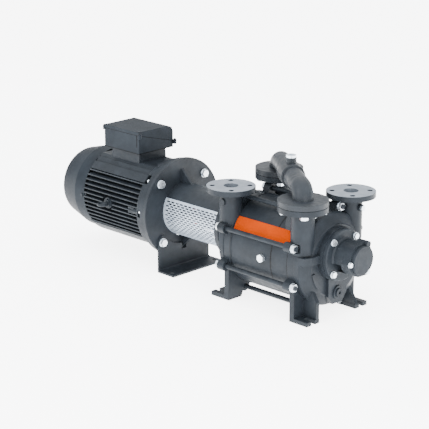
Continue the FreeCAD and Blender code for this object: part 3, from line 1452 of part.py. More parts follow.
def cooling_fan():
    """Radial fan on the rear end of the motor shaft."""
    xb = X_FRAME_END - 20.0
    xa = xb - FAN_LEN
    hub = cyl_x(xa, xb, MOTOR_SHAFT_R + 12.0)
    disc = cyl_x(xb - 4.0, xb, FAN_R)
    shapes = [hub, disc]
    for k in range(FAN_BLADES):
        blade = prism_y([(xa, MOTOR_SHAFT_R + 8.0), (xb, MOTOR_SHAFT_R + 8.0), (xb, FAN_R - 2.0),
                         (xa + 10.0, FAN_R - 2.0)], -1.75, 1.75)
        shapes.append(turned_x(blade, k * 360.0 / FAN_BLADES))
    return fuse(shapes).cut(cyl_x(xa - 1.0, xb + 1.0, MOTOR_SHAFT_R + SEAT_GAP))


def cowl_solid(inset):
    """Domed outline of the cowl, smaller by the inset."""
    x0 = X_COWL
    x1 = X_COWL - COWL_STRAIGHT
    x3 = X_MIN + inset
    x2 = X_MIN + COWL_ROUND_LEN
    r0 = COWL_R - inset
    r2 = COWL_CONE_R - inset
    r3 = COWL_END_R - inset / 2.0
    bend = math.radians(52.0)
    xm = x2 - (x2 - x3) * math.sin(bend)
    rm = r3 + (r2 - r3) * math.cos(bend)
    edges = [
        Part.makeLine(V(x0, 0, 0), V(x0, 0, r0)),
        Part.makeLine(V(x0, 0, r0), V(x1, 0, r0)),
        Part.makeLine(V(x1, 0, r0), V(x2, 0, r2)),
        Part.Arc(V(x2, 0, r2), V(xm, 0, rm), V(x3, 0, r3)).toShape(),
        Part.makeLine(V(x3, 0, r3), V(x3, 0, 0)),
        Part.makeLine(V(x3, 0, 0), V(x0, 0, 0)),
    ]
    return Part.Face(Part.Wire(edges)).revolve(V(0, 0, 0), V(1, 0, 0), 360)


def fan_cowl():
    """Sheet cover over the fan with curved air slots in its end."""
    shell = cowl_solid(0.0).cut(cowl_solid(COWL_THK))
    tools = []
    for ring in range(3):
        r_mid = 32.0 + ring * 23.0
        for k in range(4):
            a0 = 90.0 * k + 12.0
            tools.append(arc_slot_x(X_MIN - 1.0, X_MIN + COWL_THK + 1.0, r_mid, 9.0, a0, a0 + 66.0))
    for angle in (0.0, 180.0, 270.0):
        tools.append(turned_x(cyl_y(COWL_R - 8.0, COWL_R + 2.0, 3.5, cowl_screw_x(), 0.0), angle))
    return cut(shell, tools)


def cowl_screws():
    screws = []
    for angle in (0.0, 180.0, 270.0):
        x = cowl_screw_x()
        head = cyl_y(COWL_R, COWL_R + 4.0, 6.0, x, 0.0)
        shank = cyl_y(FRAME_R + 6.0, COWL_R + 1.0, 3.0, x, 0.0)
        screws.append(turned_x(fuse([head, shank]), angle))
    return screws


# Terminal box

def split_height(y):
    """Height of the slanted joint between box and lid."""
    share = (y + BOX_HALF) / (2.0 * BOX_HALF)
    return BOX_SPLIT_FRONT + (BOX_SPLIT_BACK - BOX_SPLIT_FRONT) * share


def box_x_range(inset=0.0):
    return BOX_X - BOX_LEN / 2.0 + inset, BOX_X + BOX_LEN / 2.0 - inset


def lid_screw_points():
    xa, xb = box_x_range(7.0)
    y = BOX_HALF - 7.0
    return [(xa, -y), (xb, -y), (xb, y), (xa, y)]


def terminal_box():
    """Lower part of the box, high in front and low behind."""
    h = BOX_HALF
    xa, xb = box_x_range()
    outer = prism_x([(-h, BOX_BOTTOM), (h, BOX_BOTTOM), (h, split_height(h)), (-h, split_height(-h))], xa, xb)
    ia, ib = box_x_range(BOX_WALL)
    i = h - BOX_WALL
    floor = BOX_BOTTOM + BOX_WALL
    inner = prism_x([(-i, floor), (i, floor), (i, BOX_TOP), (-i, BOX_TOP)], ia, ib)
    shell = outer.cut(inner)
    posts = []
    for x, y in lid_screw_points():
        post = cyl_z(BOX_BOTTOM + 1.0, BOX_TOP, 7.0, x, y)
        posts.append(post.common(outer))
    tools = [cyl_z(BOX_BOTTOM + 8.0, BOX_TOP, 3.0 + SEAT_GAP, x, y) for x, y in lid_screw_points()]
    tools.append(gland_hole())
    return cut(fuse([shell] + posts), tools)


def terminal_box_lid():
    """Cover with a rounded rear edge, seated on the slanted joint."""
    h = BOX_HALF
    xa, xb = box_x_range()
    r = 22.0
    outer = prism_x([(-h, split_height(-h)), (h, split_height(h)), (h, BOX_TOP - r),
                     (h - r * 0.3, BOX_TOP - r * 0.3), (h - r, BOX_TOP), (-h, BOX_TOP)], xa, xb)
    ia, ib = box_x_range(BOX_WALL)
    i = h - BOX_WALL
    top = BOX_TOP - BOX_WALL
    inner = prism_x([(-i, BOX_BOTTOM), (i, BOX_BOTTOM), (i, top - r), (i - r * 0.3, top - r * 0.3),
                     (i - r, top), (-i, top)], ia, ib)
    shell = outer.cut(inner)
    posts = [cyl_z(BOX_BOTTOM, BOX_TOP, 7.0, x, y).common(outer) for x, y in lid_screw_points()]
    tools = []
    for x, y in lid_screw_points():
        tools.append(cyl_z(BOX_BOTTOM, BOX_TOP + 1.0, 3.0 + HOLE_GAP / 2.0, x, y))
        tools.append(cyl_z(lid_screw_seat(y), BOX_TOP + 1.0, 6.5, x, y))
    return cut(fuse([shell] + posts), tools)


def lid_screw_seat(y):
    """Height of the countersunk seat under a lid screw head."""
    return BOX_TOP - 4.0 if y < 0.0 else BOX_TOP - 26.0


def lid_screws():
    screws = []
    for x, y in lid_screw_points():
        seat = lid_screw_seat(y)
        head = cyl_z(seat, seat + 5.0, 5.5, x, y)
        shank = cyl_z(split_height(y) - 16.0, seat + 1.0, 3.0, x, y)
        screws.append(fuse([head, shank]))
    return screws


def gland_place():
    return BOX_X + BOX_LEN / 2.0 - 22.0, BOX_BOTTOM + 13.0


def gland_hole():
    x, z = gland_place()
    return cyl_y(BOX_HALF - BOX_WALL - 1.0, BOX_HALF + 1.0, 7.0 + SEAT_GAP, x, z)


def gland_plug():
    """Blank plug in the cable entry."""
    x, z = gland_place()
    shank = cyl_y(BOX_HALF - BOX_WALL, BOX_HALF + 1.0, 7.0, x, z)
    collar = aimed(hex_prism(20.0, 7.0), V(x, BOX_HALF, z), V(0, 1, 0))
    nose = cyl_y(BOX_HALF + 6.0, BOX_HALF + 18.0, 7.5, x, z)
    return fuse([shank, collar, nose])


def terminal_block():
    """Insulating block with its studs, on the floor of the box."""
    floor = BOX_BOTTOM + BOX_WALL
    base = block(BOX_X - 38.0, BOX_X + 38.0, -24.0, 24.0, floor, floor + 12.0)
    studs = []
    for i in (-1, 0, 1):
        for j in (-1, 1):
            studs.append(cyl_z(floor + 11.0, floor + 22.0, 3.0, BOX_X + i * 24.0, j * 12.0))
    return fuse([base] + studs)


# Coupling

def coupling_face():
    """Stations of the two hub faces between which the jaws lie."""
    motor_face = X_MOTOR + MOTOR_SHAFT_EXT
    return motor_face, motor_face + JAW_LEN + 2.0


def jaws(xa, xb, first_angle):
    parts = []
    for k in range(JAWS):
        middle = first_angle + k * 360.0 / JAWS
        parts.append(sector_x(xa, xb, JAW_IN_R, COUPLING_R, middle - JAW_ANGLE / 2.0, middle + JAW_ANGLE / 2.0))
    return parts


def motor_coupling_half():
    face, other = coupling_face()
    hub = cyl_x(face - COUPLING_HUB_LEN, face, COUPLING_R)
    parts = [hub] + jaws(face - 1.0, other - 2.0, 0.0)
    return fuse(parts).cut(cyl_x(face - COUPLING_HUB_LEN - 1.0, face + 1.0, MOTOR_SHAFT_R + SEAT_GAP))


def pump_coupling_half():
    other, face = coupling_face()
    hub = cyl_x(face, face + COUPLING_HUB_LEN, COUPLING_R)
    parts = [hub] + jaws(other + 2.0, face + 1.0, 180.0 / JAWS)
    return fuse(parts).cut(cyl_x(face - 1.0, face + COUPLING_HUB_LEN + 1.0, COUPLING_SHAFT_R + SEAT_GAP))


def coupling_spider():
    """Rubber star between the jaws."""
    low, high = coupling_face()
    xa = low + 1.0
    xb = high - 1.0
    ring = tube_x(xa, xb, JAW_IN_R - 0.5, JAW_IN_R - 9.0)
    legs = []
    gap = 180.0 / JAWS - JAW_ANGLE
    for k in range(2 * JAWS):
        middle = 90.0 / JAWS + k * 180.0 / JAWS
        half = gap / 2.0 - LEG_GAP_ANGLE
        legs.append(sector_x(xa, xb, JAW_IN_R - 2.0, COUPLING_R - 1.0, middle - half, middle + half))
    return fuse([ring] + legs)


# Plate on the pump body

def side_plate():
    """Bare coloured plate that follows the curve of the stage bodies."""
    r_in = BODY_R + 2.0 * RUN_GAP
    r_out = r_in + SIDE_PLATE_THK
    xa = X_JOINT1 + SIDE_PLATE_MARGIN
    low = SIDE_PLATE_LOW
    high = SIDE_PLATE_HIGH
    tip = X_JOINT2 - SIDE_PLATE_MARGIN / 3.0
    sheet = sector_x(xa, tip, r_in, r_out, high, low, 0.0, Z_BODY)
    top = Z_BODY + polar(r_out, high)[1] + 1.0
    middle = Z_BODY + polar(r_out, (high + low) / 2.0)[1]
    bottom = Z_BODY + polar(r_out, low)[1] - 1.0
    upper = [(tip - 24.0, top), (tip + 1.0, top), (tip + 1.0, middle)]
    lower = [(tip - 14.0, bottom), (tip + 1.0, bottom), (tip + 1.0, middle - 8.0)]
    return cut(sheet, [prism_y(corners, -2.0 * BODY_R, 0.0) for corners in (upper, lower)])


# All pieces by the name of their node

PIECES = {
    "drive_end_casing": drive_end_casing,
    "stage1_body": stage1_body,
    "stage2_body": stage2_body,
    "free_end_casing": free_end_casing,
    "tie_rods": tie_rods,
    "tie_rod_nuts": tie_rod_nuts,
    "body_plug": body_plug,
    "gauge_plug": gauge_plug,
    "drain_plug": drain_plug,
    "drive_end_port_plate": drive_end_port_plate,
    "middle_plate": middle_plate,
    "free_end_port_plate": free_end_port_plate,
    "drive_bearing_bracket": drive_bearing_bracket,
    "bearing_housing": bearing_housing,
    "bearing_cap": bearing_cap,
    "housing_bolts": housing_bolts,
    "cap_bolts": cap_bolts,
    "bearing_cover": bearing_cover,
    "bearing_outers": bearing_outers,
    "seal_seats": seal_seats,
    "interstage_manifold": interstage_manifold,
    "manifold_plug": manifold_plug,
    "manifold_gaskets": manifold_gaskets,
    "manifold_bolts": manifold_bolts,
    "lantern": lantern,
    "guard_front": guard_front,
    "guard_back": guard_back,
    "guard_screws": guard_screws,
    "lantern_bolts": lantern_bolts,
    "motor_bolts": motor_bolts,
    "motor_bolt_nuts": motor_bolt_nuts,
    "foot_bracket": foot_bracket,
    "flange_shield": flange_shield,
    "shield_bolts": shield_bolts,
    "motor_frame": motor_frame,
    "rear_shield": rear_shield,
    "stator_core": stator_core,
    "stator_windings": stator_windings,
    "fan_cowl": fan_cowl,
    "cowl_screws": cowl_screws,
    "lifting_eye": lifting_eye,
    "terminal_box": terminal_box,
    "terminal_box_lid": terminal_box_lid,
    "lid_screws": lid_screws,
    "gland_plug": gland_plug,
    "terminal_block": terminal_block,
    "side_plate": side_plate,
    "motor_shaft": motor_shaft,
    "rotor_core": rotor_core,
    "motor_bearing_inners": motor_bearing_inners,
    "cooling_fan": cooling_fan,
    "motor_coupling_half": motor_coupling_half,
    "pump_shaft": pump_shaft,
    "stage1_impeller": stage1_impeller,
    "stage2_impeller": stage2_impeller,
    "pump_bearing_inners": pump_bearing_inners,
    "seal_rings": seal_rings,
    "shaft_nut": shaft_nut,
    "pump_coupling_half": pump_coupling_half,
    "coupling_spider": coupling_spider,
}


def main():
    os.makedirs("parts", exist_ok=True)
    shift = V(-(X_MIN + X_MAX) / 2.0, 0.0, SHAFT_HEIGHT)
    for name, build in PIECES.items():
        shape = build()
        if isinstance(shape, list):
            shape = Part.makeCompound(shape)
        shape.translate(shift)
        shape.exportStep("parts/" + name + ".step")
        print(name, len(shape.Solids), shape.isValid(), round(shape.Volume / 1000.0, 2))


main()
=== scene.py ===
import json
import math
import bpy
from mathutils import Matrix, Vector


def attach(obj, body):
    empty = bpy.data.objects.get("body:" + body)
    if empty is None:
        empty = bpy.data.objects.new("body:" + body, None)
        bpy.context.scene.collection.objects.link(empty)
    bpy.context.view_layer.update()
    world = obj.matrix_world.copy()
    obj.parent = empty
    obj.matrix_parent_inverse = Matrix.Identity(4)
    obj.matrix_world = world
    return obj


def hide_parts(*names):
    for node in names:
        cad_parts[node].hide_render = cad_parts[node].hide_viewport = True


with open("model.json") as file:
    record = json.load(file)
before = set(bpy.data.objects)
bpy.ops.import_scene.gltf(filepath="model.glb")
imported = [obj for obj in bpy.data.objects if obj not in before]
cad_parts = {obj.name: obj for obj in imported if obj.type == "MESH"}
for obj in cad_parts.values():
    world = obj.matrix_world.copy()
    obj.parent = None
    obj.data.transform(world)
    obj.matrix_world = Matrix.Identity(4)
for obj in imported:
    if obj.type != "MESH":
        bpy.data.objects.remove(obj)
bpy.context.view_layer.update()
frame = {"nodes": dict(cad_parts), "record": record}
nodes = frame["nodes"]

# Places on the machine, in metres: SHIFT and SHAFT_Z lead from the shaft frame to the CAD frame
SHIFT = 0.200
SHAFT_Z = 0.215
JOINT_1 = SHIFT + 0.032
JOINT_2 = SHIFT + 0.216
JOINT_3 = SHIFT + 0.288
SEAM_HALF = 0.0024

# Port flanges
PORT_TOP = SHAFT_Z + 0.1775
PORT_Y = 0.1175
PORT_SPAN = 0.320
FACE_R = 0.0822
FACE_DEPTH = 0.0006
BORE_R = 0.0262
BORE_DEPTH = 0.09

# Terminal box
LID_FRONT = SHAFT_Z + 0.252
LID_SLOPE = -0.045 / 0.166
LID_EDGE_Y = -0.083
LID_JOINT_HALF = 0.0018
BOX_FLOOR = SHAFT_Z + 0.183
# Painted shade on the terminal box: a dark band this high along its bottom, and a dark strip in the groove
# below the corner lug
UNDER_BOX_SHADOW_HIGH = 0.0024
GROOVE_SHADE_X = SHIFT - 0.502
GROOVE_SHADE_HALF = 0.0020
GROOVE_SHADE_START = BOX_FLOOR + 0.024
GROOVE_SHADE_Y = -0.0825
LUG_R = 0.0068

# Coupling guards
LANTERN_R = 0.094
WINDOW_TOP = 0.043
WINDOW_LOW = 0.082
GUARD_MID_R = 0.09505
GUARD_THK = 0.0015
GUARD_X0 = -0.355 + SHIFT
GUARD_X1 = -0.087 + SHIFT
GUARD_LAP = math.radians(7.0)
GUARD_MARGIN = 0.0075
SLOT_PITCH = 0.0200
SLOT_HALF = 0.0086
SLOT_HIGH = 0.0025
SLOT_CORNER = 0.8 * SLOT_HALF
SLOT_ROWS = 19

# Rim of the motor shield, and the dark sheet behind the grille of the fan cowl, which is painted shade
# inside the cowl
SHIELD_R = 0.168
SCREEN_X = SHIFT - 0.8745
SCREEN_R = 0.084
SCREEN_HOLE_R = 0.004
SCREEN_RIB = 0.0006
SCREEN_THK = 0.0006
SCREEN_RINGS = 22
SCREEN_TURNS = 72

# Dark coat of the castings
PAINT_DARK = (0.0080, 0.0101, 0.0127)
PAINT_MID = (0.0107, 0.0134, 0.0169)
PAINT_LIGHT = (0.0140, 0.0175, 0.0219)
# Colour of the dark joint lines, also used for the painted shade on the terminal box
SEAM_AND_SHADE_COLOUR = (0.0012, 0.0014, 0.0018)
PAINT_GLOSS = 0.09
SHEET_GLOSS = 0.035
PEEL_SCALE = 420.0
PEEL_SHARE = 0.35
CAST_SCALE = 60.0

# Camera of the photo, its place in metres and its lens in millimetres
CAMERA_PLACE = (3.3745 + SHIFT, -3.5648, 1.5629 + SHAFT_Z)
CAMERA_AZIMUTH = math.radians(45.04)
CAMERA_ELEVATION = math.radians(17.13)
CAMERA_LENS = 127.05
CAMERA_SENSOR = 36.0
CAMERA_REACH = 250.0

# Floor and light
FLOOR_HALF = 90.0
FLOOR_DROP = 0.0005
FLOOR_GLOW = 4.5
LIGHT_SIZE = 2.4
SKY_LOW = 1.5
SKY_HIGH = 4.4


# Materials

def new_material(name):
    """Material with its tree, its shader and the coordinates of the object."""
    material = bpy.data.materials.new(name)
    material.use_nodes = True
    tree = material.node_tree
    shader = tree.nodes["Principled BSDF"]
    coords = tree.nodes.new("ShaderNodeTexCoord")
    return material, tree, shader, coords.outputs["Object"]


def noise(tree, coords, scale, detail=3.0, rough=0.5):
    """Cloud of values round one half."""
    node = tree.nodes.new("ShaderNodeTexNoise")
    node.inputs["Scale"].default_value = scale
    node.inputs["Detail"].default_value = detail
    node.inputs["Roughness"].default_value = rough
    tree.links.new(coords, node.inputs["Vector"])
    return node.outputs["Fac"]


def ramp(tree, value, stops):
    """Colour from a value, by stops of (place, colour)."""
    node = tree.nodes.new("ShaderNodeValToRGB")
    elements = node.color_ramp.elements
    while len(elements) < len(stops):
        elements.new(0.5)
    for element, (place, colour) in zip(elements, stops):
        element.position = place
        element.color = (*colour, 1.0)
    tree.links.new(value, node.inputs["Fac"])
    return node.outputs["Color"]


def stretch(tree, value, start, stop, low, high):
    """The range of a value from start to stop, laid over the range from low to high."""
    node = tree.nodes.new("ShaderNodeMapRange")
    node.inputs["From Min"].default_value = start
    node.inputs["From Max"].default_value = stop
    node.inputs["To Min"].default_value = low
    node.inputs["To Max"].default_value = high
    tree.links.new(value, node.inputs["Value"])
    return node.outputs["Result"]


def spread(tree, value, low, high):
    """A noise value laid over the range from low to high."""
    return stretch(tree, value, 0.3, 0.7, low, high)


def wave(tree, coords, scale, distortion, direction="X"):
    """Texture of bands along one direction."""
    node = tree.nodes.new("ShaderNodeTexWave")
    node.bands_direction = direction
    node.inputs["Scale"].default_value = scale
    node.inputs["Distortion"].default_value = distortion
    tree.links.new(coords, node.inputs["Vector"])
    return node


def math_node(tree, operation, a, b=None):
    """Result of one operation on numbers or sockets."""
    node = tree.nodes.new("ShaderNodeMath")
    node.operation = operation
    for socket, value in zip(node.inputs, (a, b)):
        if value is None:
            continue
        if isinstance(value, float):
            socket.default_value = value
        else:
            tree.links.new(value, socket)
    return node.outputs[0]


def mix_colour(tree, factor, a, b):
    """Colour a where the factor is zero and colour b where it is one."""
    node = tree.nodes.new("ShaderNodeMix")
    node.data_type = "RGBA"
    tree.links.new(factor, node.inputs["Factor"])
    for socket, value in ((node.inputs[6], a), (node.inputs[7], b)):
        if isinstance(value, tuple):
            socket.default_value = (*value, 1.0)
        else:
            tree.links.new(value, socket)
    return node.outputs[2]


def parts_of(tree, coords):
    """Sockets of the single coordinates, by X, Y and Z."""
    split = tree.nodes.new("ShaderNodeSeparateXYZ")
    tree.links.new(coords, split.inputs["Vector"])
    return split.outputs


def above(tree, value, limit):
    """One where a value lies above a limit."""
    return math_node(tree, "GREATER_THAN", value, limit)


def below(tree, value, limit):
    """One where a value lies below a limit."""
    return math_node(tree, "LESS_THAN", value, limit)


def minus(tree, a, b):
    """Difference of two values."""
    return math_node(tree, "SUBTRACT", a, b)


def times(tree, a, b):
    """Product of two values."""
    return math_node(tree, "MULTIPLY", a, b)


def near(tree, value, station, half):
    """One where a value lies within half of a station."""
    return below(tree, math_node(tree, "ABSOLUTE", minus(tree, value, station)), half)


def bump(tree, shader, height, strength, distance, edge=0.0):
    """Surface relief from a height, over edges that look slightly rounded."""
    node = tree.nodes.new("ShaderNodeBump")
    node.inputs["Strength"].default_value = strength
    node.inputs["Distance"].default_value = distance
    tree.links.new(height, node.inputs["Height"])
    if edge > 0.0:
        bevel = tree.nodes.new("ShaderNodeBevel")
        bevel.samples = 4
        bevel.inputs["Radius"].default_value = edge
        tree.links.new(bevel.outputs["Normal"], node.inputs["Normal"])
    tree.links.new(node.outputs["Normal"], shader.inputs["Normal"])


def paint_colour(tree, coords):
    """Slow cloud of three close tones of the dark coat."""
    cloud = noise(tree, coords, 14.0, 4.0, 0.6)
    return ramp(tree, cloud, [(0.3, PAINT_DARK), (0.5, PAINT_MID), (0.72, PAINT_LIGHT)])


def with_seams(tree, coords, colour, stations):
    """Dark hairline across the shaft direction where two pieces meet."""
    at = parts_of(tree, coords)
    for station in stations:
        colour = mix_colour(tree, near(tree, at["X"], station, SEAM_HALF), colour, SEAM_AND_SHADE_COLOUR)
    return colour


def with_lid_joint_and_painted_shade(tree, coords, colour):
    """Dark line at the slanted lid joint, with painted shade: a dark band under the box and a dark strip in
    the groove below the corner lug.
    """
    at = parts_of(tree, coords)
    # Painted shadow: dark band along the bottom of the box, where it sits on the pedestal
    colour = mix_colour(tree, below(tree, at["Z"], BOX_FLOOR + UNDER_BOX_SHADOW_HIGH), colour, SEAM_AND_SHADE_COLOUR)
    # Painted shade: dark strip in the groove below the corner lug
    beside = near(tree, at["X"], GROOVE_SHADE_X, GROOVE_SHADE_HALF)
    high = above(tree, at["Z"], GROOVE_SHADE_START)
    front = below(tree, at["Y"], GROOVE_SHADE_Y)
    groove_shade = times(tree, times(tree, beside, high), front)
    colour = mix_colour(tree, groove_shade, colour, SEAM_AND_SHADE_COLOUR)
    rise = times(tree, minus(tree, at["Y"], LID_EDGE_Y), LID_SLOPE)
    level = minus(tree, at["Z"], rise)
    return mix_colour(tree, near(tree, level, LID_FRONT, LID_JOINT_HALF), colour, SEAM_AND_SHADE_COLOUR)


def cast_skin(tree, coords):
    """Height of the painted casting and its slow part alone."""
    fine = noise(tree, coords, PEEL_SCALE, 2.0)
    slow = noise(tree, coords, CAST_SCALE, 3.0)
    return math_node(tree, "ADD", times(tree, fine, PEEL_SHARE), slow), slow


def cast_paint(name, stations=(), gloss=PAINT_GLOSS):
    """Dark coat over a cast skin: fine orange peel over a slow unevenness."""
    material, tree, shader, coords = new_material(name)
    colour = with_seams(tree, coords, paint_colour(tree, coords), stations)
    tree.links.new(colour, shader.inputs["Base Color"])
    height, slow = cast_skin(tree, coords)
    tree.links.new(spread(tree, slow, 0.40, 0.56), shader.inputs["Roughness"])
    shader.inputs["Specular IOR Level"].default_value = gloss
    bump(tree, shader, height, 0.35, 0.0009, 0.0016)
    return material


def sheet_paint(name, lid_joint_and_shade=False):
    """The same coat on smooth sheet metal; on the terminal box also the dark lid joint line and painted
    shade under the box and in its groove.
    """
    material, tree, shader, coords = new_material(name)
    colour = paint_colour(tree, coords)
    if lid_joint_and_shade:
        colour = with_lid_joint_and_painted_shade(tree, coords, colour)
    tree.links.new(colour, shader.inputs["Base Color"])
    fine = noise(tree, coords, 260.0, 2.0)
    tree.links.new(spread(tree, fine, 0.42, 0.54), shader.inputs["Roughness"])
    shader.inputs["Specular IOR Level"].default_value = SHEET_GLOSS
    bump(tree, shader, fine, 0.10, 0.0006, 0.001)
    return material


def turned_rings(tree, coords, middle):
    """Fine rings round a place, as a lathe leaves them."""
    shifted = tree.nodes.new("ShaderNodeVectorMath")
    shifted.operation = "SUBTRACT"
    shifted.inputs[1].default_value = middle
    tree.links.new(coords, shifted.inputs[0])
    rings = wave(tree, shifted.outputs["Vector"], 160.0, 0.4)
    rings.wave_type = "RINGS"
    rings.rings_direction = "SPHERICAL"
    return rings.outputs["Fac"]


def casing_paint(name, centre):
    """Cast coat with a machined, uncoated face on top of one port flange."""
    material, tree, shader, coords = new_material(name)
    at = parts_of(tree, coords)
    dx = minus(tree, at["X"], centre[0])
    dy = minus(tree, at["Y"], centre[1])
    square = math_node(tree, "ADD", times(tree, dx, dx), times(tree, dy, dy))
    distance = math_node(tree, "SQRT", square)
    face = times(tree, below(tree, distance, FACE_R), above(tree, at["Z"], PORT_TOP - FACE_DEPTH))
    bore = times(tree, below(tree, distance, BORE_R), above(tree, at["Z"], PORT_TOP - BORE_DEPTH))
    bare = math_node(tree, "MAXIMUM", face, bore)
    smear = noise(tree, coords, 35.0, 3.0)
    metal = ramp(tree, smear, [(0.3, (0.150, 0.170, 0.198)), (0.7, (0.200, 0.222, 0.255))])
    tree.links.new(mix_colour(tree, bare, paint_colour(tree, coords), metal), shader.inputs["Base Color"])
    tree.links.new(times(tree, bare, 0.65), shader.inputs["Metallic"])
    cast, slow = cast_skin(tree, coords)
    tree.links.new(spread(tree, slow, 0.36, 0.50), shader.inputs["Roughness"])
    shader.inputs["Specular IOR Level"].default_value = PAINT_GLOSS
    rings = times(tree, turned_rings(tree, coords, (*centre, PORT_TOP)), 0.12)
    height = tree.nodes.new("ShaderNodeMix")
    tree.links.new(bare, height.inputs["Factor"])
    tree.links.new(cast, height.inputs[2])
    tree.links.new(rings, height.inputs[3])
    bump(tree, shader, height.outputs[0], 0.35, 0.0009, 0.0012)
    return material


def plain_metal(name, low, high, rough, metallic, scale=90.0, edge=0.0006):
    """Bare or plated metal with a faint cloud in its colour and gloss."""
    material, tree, shader, coords = new_material(name)
    cloud = noise(tree, coords, scale, 3.0)
    tree.links.new(ramp(tree, cloud, [(0.3, low), (0.7, high)]), shader.inputs["Base Color"])
    tree.links.new(spread(tree, cloud, rough - 0.05, rough + 0.06), shader.inputs["Roughness"])
    shader.inputs["Metallic"].default_value = metallic
    fine = noise(tree, coords, scale * 5.0, 2.0)
    bump(tree, shader, fine, 0.12, 0.0004, edge)
    return material


def paint_on_bar(name):
    """Thin dark coat on drawn bar and on screw heads."""
    material, tree, shader, coords = new_material(name)
    cloud = noise(tree, coords, 40.0, 3.0)
    tree.links.new(ramp(tree, cloud, [(0.3, PAINT_DARK), (0.7, PAINT_LIGHT)]), shader.inputs["Base Color"])
    tree.links.new(spread(tree, cloud, 0.42, 0.55), shader.inputs["Roughness"])
    shader.inputs["Specular IOR Level"].default_value = PAINT_GLOSS
    bump(tree, shader, noise(tree, coords, 500.0), 0.15, 0.0003, 0.0006)
    return material


def turned_metal(name, low, high, rough):
    """Turned steel with fine grooves across the shaft direction."""
    material, tree, shader, coords = new_material(name)
    grooves = wave(tree, coords, 700.0, 1.5).outputs["Fac"]
    cloud = noise(tree, coords, 60.0)
    tree.links.new(ramp(tree, cloud, [(0.3, low), (0.7, high)]), shader.inputs["Base Color"])
    tree.links.new(spread(tree, cloud, rough - 0.05, rough + 0.05), shader.inputs["Roughness"])
    shader.inputs["Metallic"].default_value = 1.0
    bump(tree, shader, grooves, 0.08, 0.0002)
    return material


def dull(name, low, high, rough, scale=120.0):
    """Matt material such as fibre, rubber or moulded plastic."""
    material, tree, shader, coords = new_material(name)
    cloud = noise(tree, coords, scale, 4.0)
    tree.links.new(ramp(tree, cloud, [(0.3, low), (0.7, high)]), shader.inputs["Base Color"])
    tree.links.new(spread(tree, cloud, rough - 0.05, rough + 0.05), shader.inputs["Roughness"])
    bump(tree, shader, noise(tree, coords, scale * 4.0), 0.2, 0.0003, 0.0005)
    return material


def banded(name, low, high, rough, metallic, scale, direction):
    """Stacked sheets or wound wire: fine bands along one direction."""
    material, tree, shader, coords = new_material(name)
    bands = wave(tree, coords, scale, 0.6, direction).outputs["Fac"]
    tree.links.new(ramp(tree, bands, [(0.2, low), (0.8, high)]), shader.inputs["Base Color"])
    shader.inputs["Metallic"].default_value = metallic
    shader.inputs["Roughness"].default_value = rough
    bump(tree, shader, bands, 0.4, 0.0003)
    return material


def orange_plate(name):
    """Smooth orange lacquer with a faint sheen."""
    material, tree, shader, coords = new_material(name)
    cloud = noise(tree, coords, 20.0, 3.0)
    tree.links.new(ramp(tree, cloud, [(0.3, (0.265, 0.0270, 0.0)), (0.7, (0.305, 0.0320, 0.0))]),
                   shader.inputs["Base Color"])
    shader.inputs["Specular IOR Level"].default_value = 0.0
    tree.links.new(spread(tree, cloud, 0.38, 0.46), shader.inputs["Roughness"])
    bump(tree, shader, noise(tree, coords, 500.0), 0.08, 0.0002, 0.0004)
    return material


paint = cast_paint("cast_paint")
zinc = plain_metal("zinc_plated", (0.54, 0.59, 0.64), (0.72, 0.77, 0.82), 0.30, 0.88)
dark_steel = paint_on_bar("screw_paint")
# Near-black iron on the coupling halves: painted shade, so that the inside of the guards looks dark through
# the slots
guard_shade_iron = plain_metal("iron_darkened_as_guard_shade", (0.012, 0.012, 0.013), (0.022, 0.022, 0.024), 0.55, 0.3)
by_slot = {
    "dark_paint": paint,
    "zinc_steel": zinc,
    "perforated_sheet": plain_metal("bright_sheet", (0.27, 0.315, 0.375), (0.35, 0.40, 0.465), 0.42, 0.4,
                                    30.0, 0.0),
    "coloured_plate": orange_plate("orange_lacquer"),
    "turned_steel": turned_metal("turned_steel_finish", (0.42, 0.43, 0.45), (0.60, 0.61, 0.63), 0.28),
    "bronze": plain_metal("cast_bronze", (0.42, 0.24, 0.09), (0.58, 0.36, 0.16), 0.38, 1.0, 60.0),
    "grey_iron": plain_metal("machined_iron", (0.16, 0.16, 0.165), (0.26, 0.26, 0.265), 0.45, 0.8),
    "bearing_steel": plain_metal("bearing_steel_finish", (0.55, 0.56, 0.58), (0.70, 0.71, 0.73), 0.2, 1.0),
    "seal_ceramic": dull("seal_ring", (0.60, 0.57, 0.50), (0.72, 0.69, 0.62), 0.35),
    "fibre": dull("gasket_fibre", (0.10, 0.13, 0.12), (0.17, 0.21, 0.19), 0.8, 300.0),
    "elastomer": dull("spider_rubber", (0.35, 0.05, 0.03), (0.48, 0.08, 0.05), 0.6),
    "laminations": banded("core_sheets", (0.12, 0.12, 0.13), (0.30, 0.30, 0.32), 0.5, 0.9, 500.0, "X"),
    "copper_winding": banded("wound_copper", (0.32, 0.10, 0.04), (0.75, 0.30, 0.14), 0.4, 0.8, 300.0,
                             "DIAGONAL"),
    "cast_aluminium": plain_metal("cast_aluminium_finish", (0.45, 0.46, 0.48), (0.60, 0.61, 0.63), 0.5, 0.9),
    "black_plastic": dull("black_plastic_finish", (0.012, 0.012, 0.014), (0.03, 0.03, 0.034), 0.5),
}
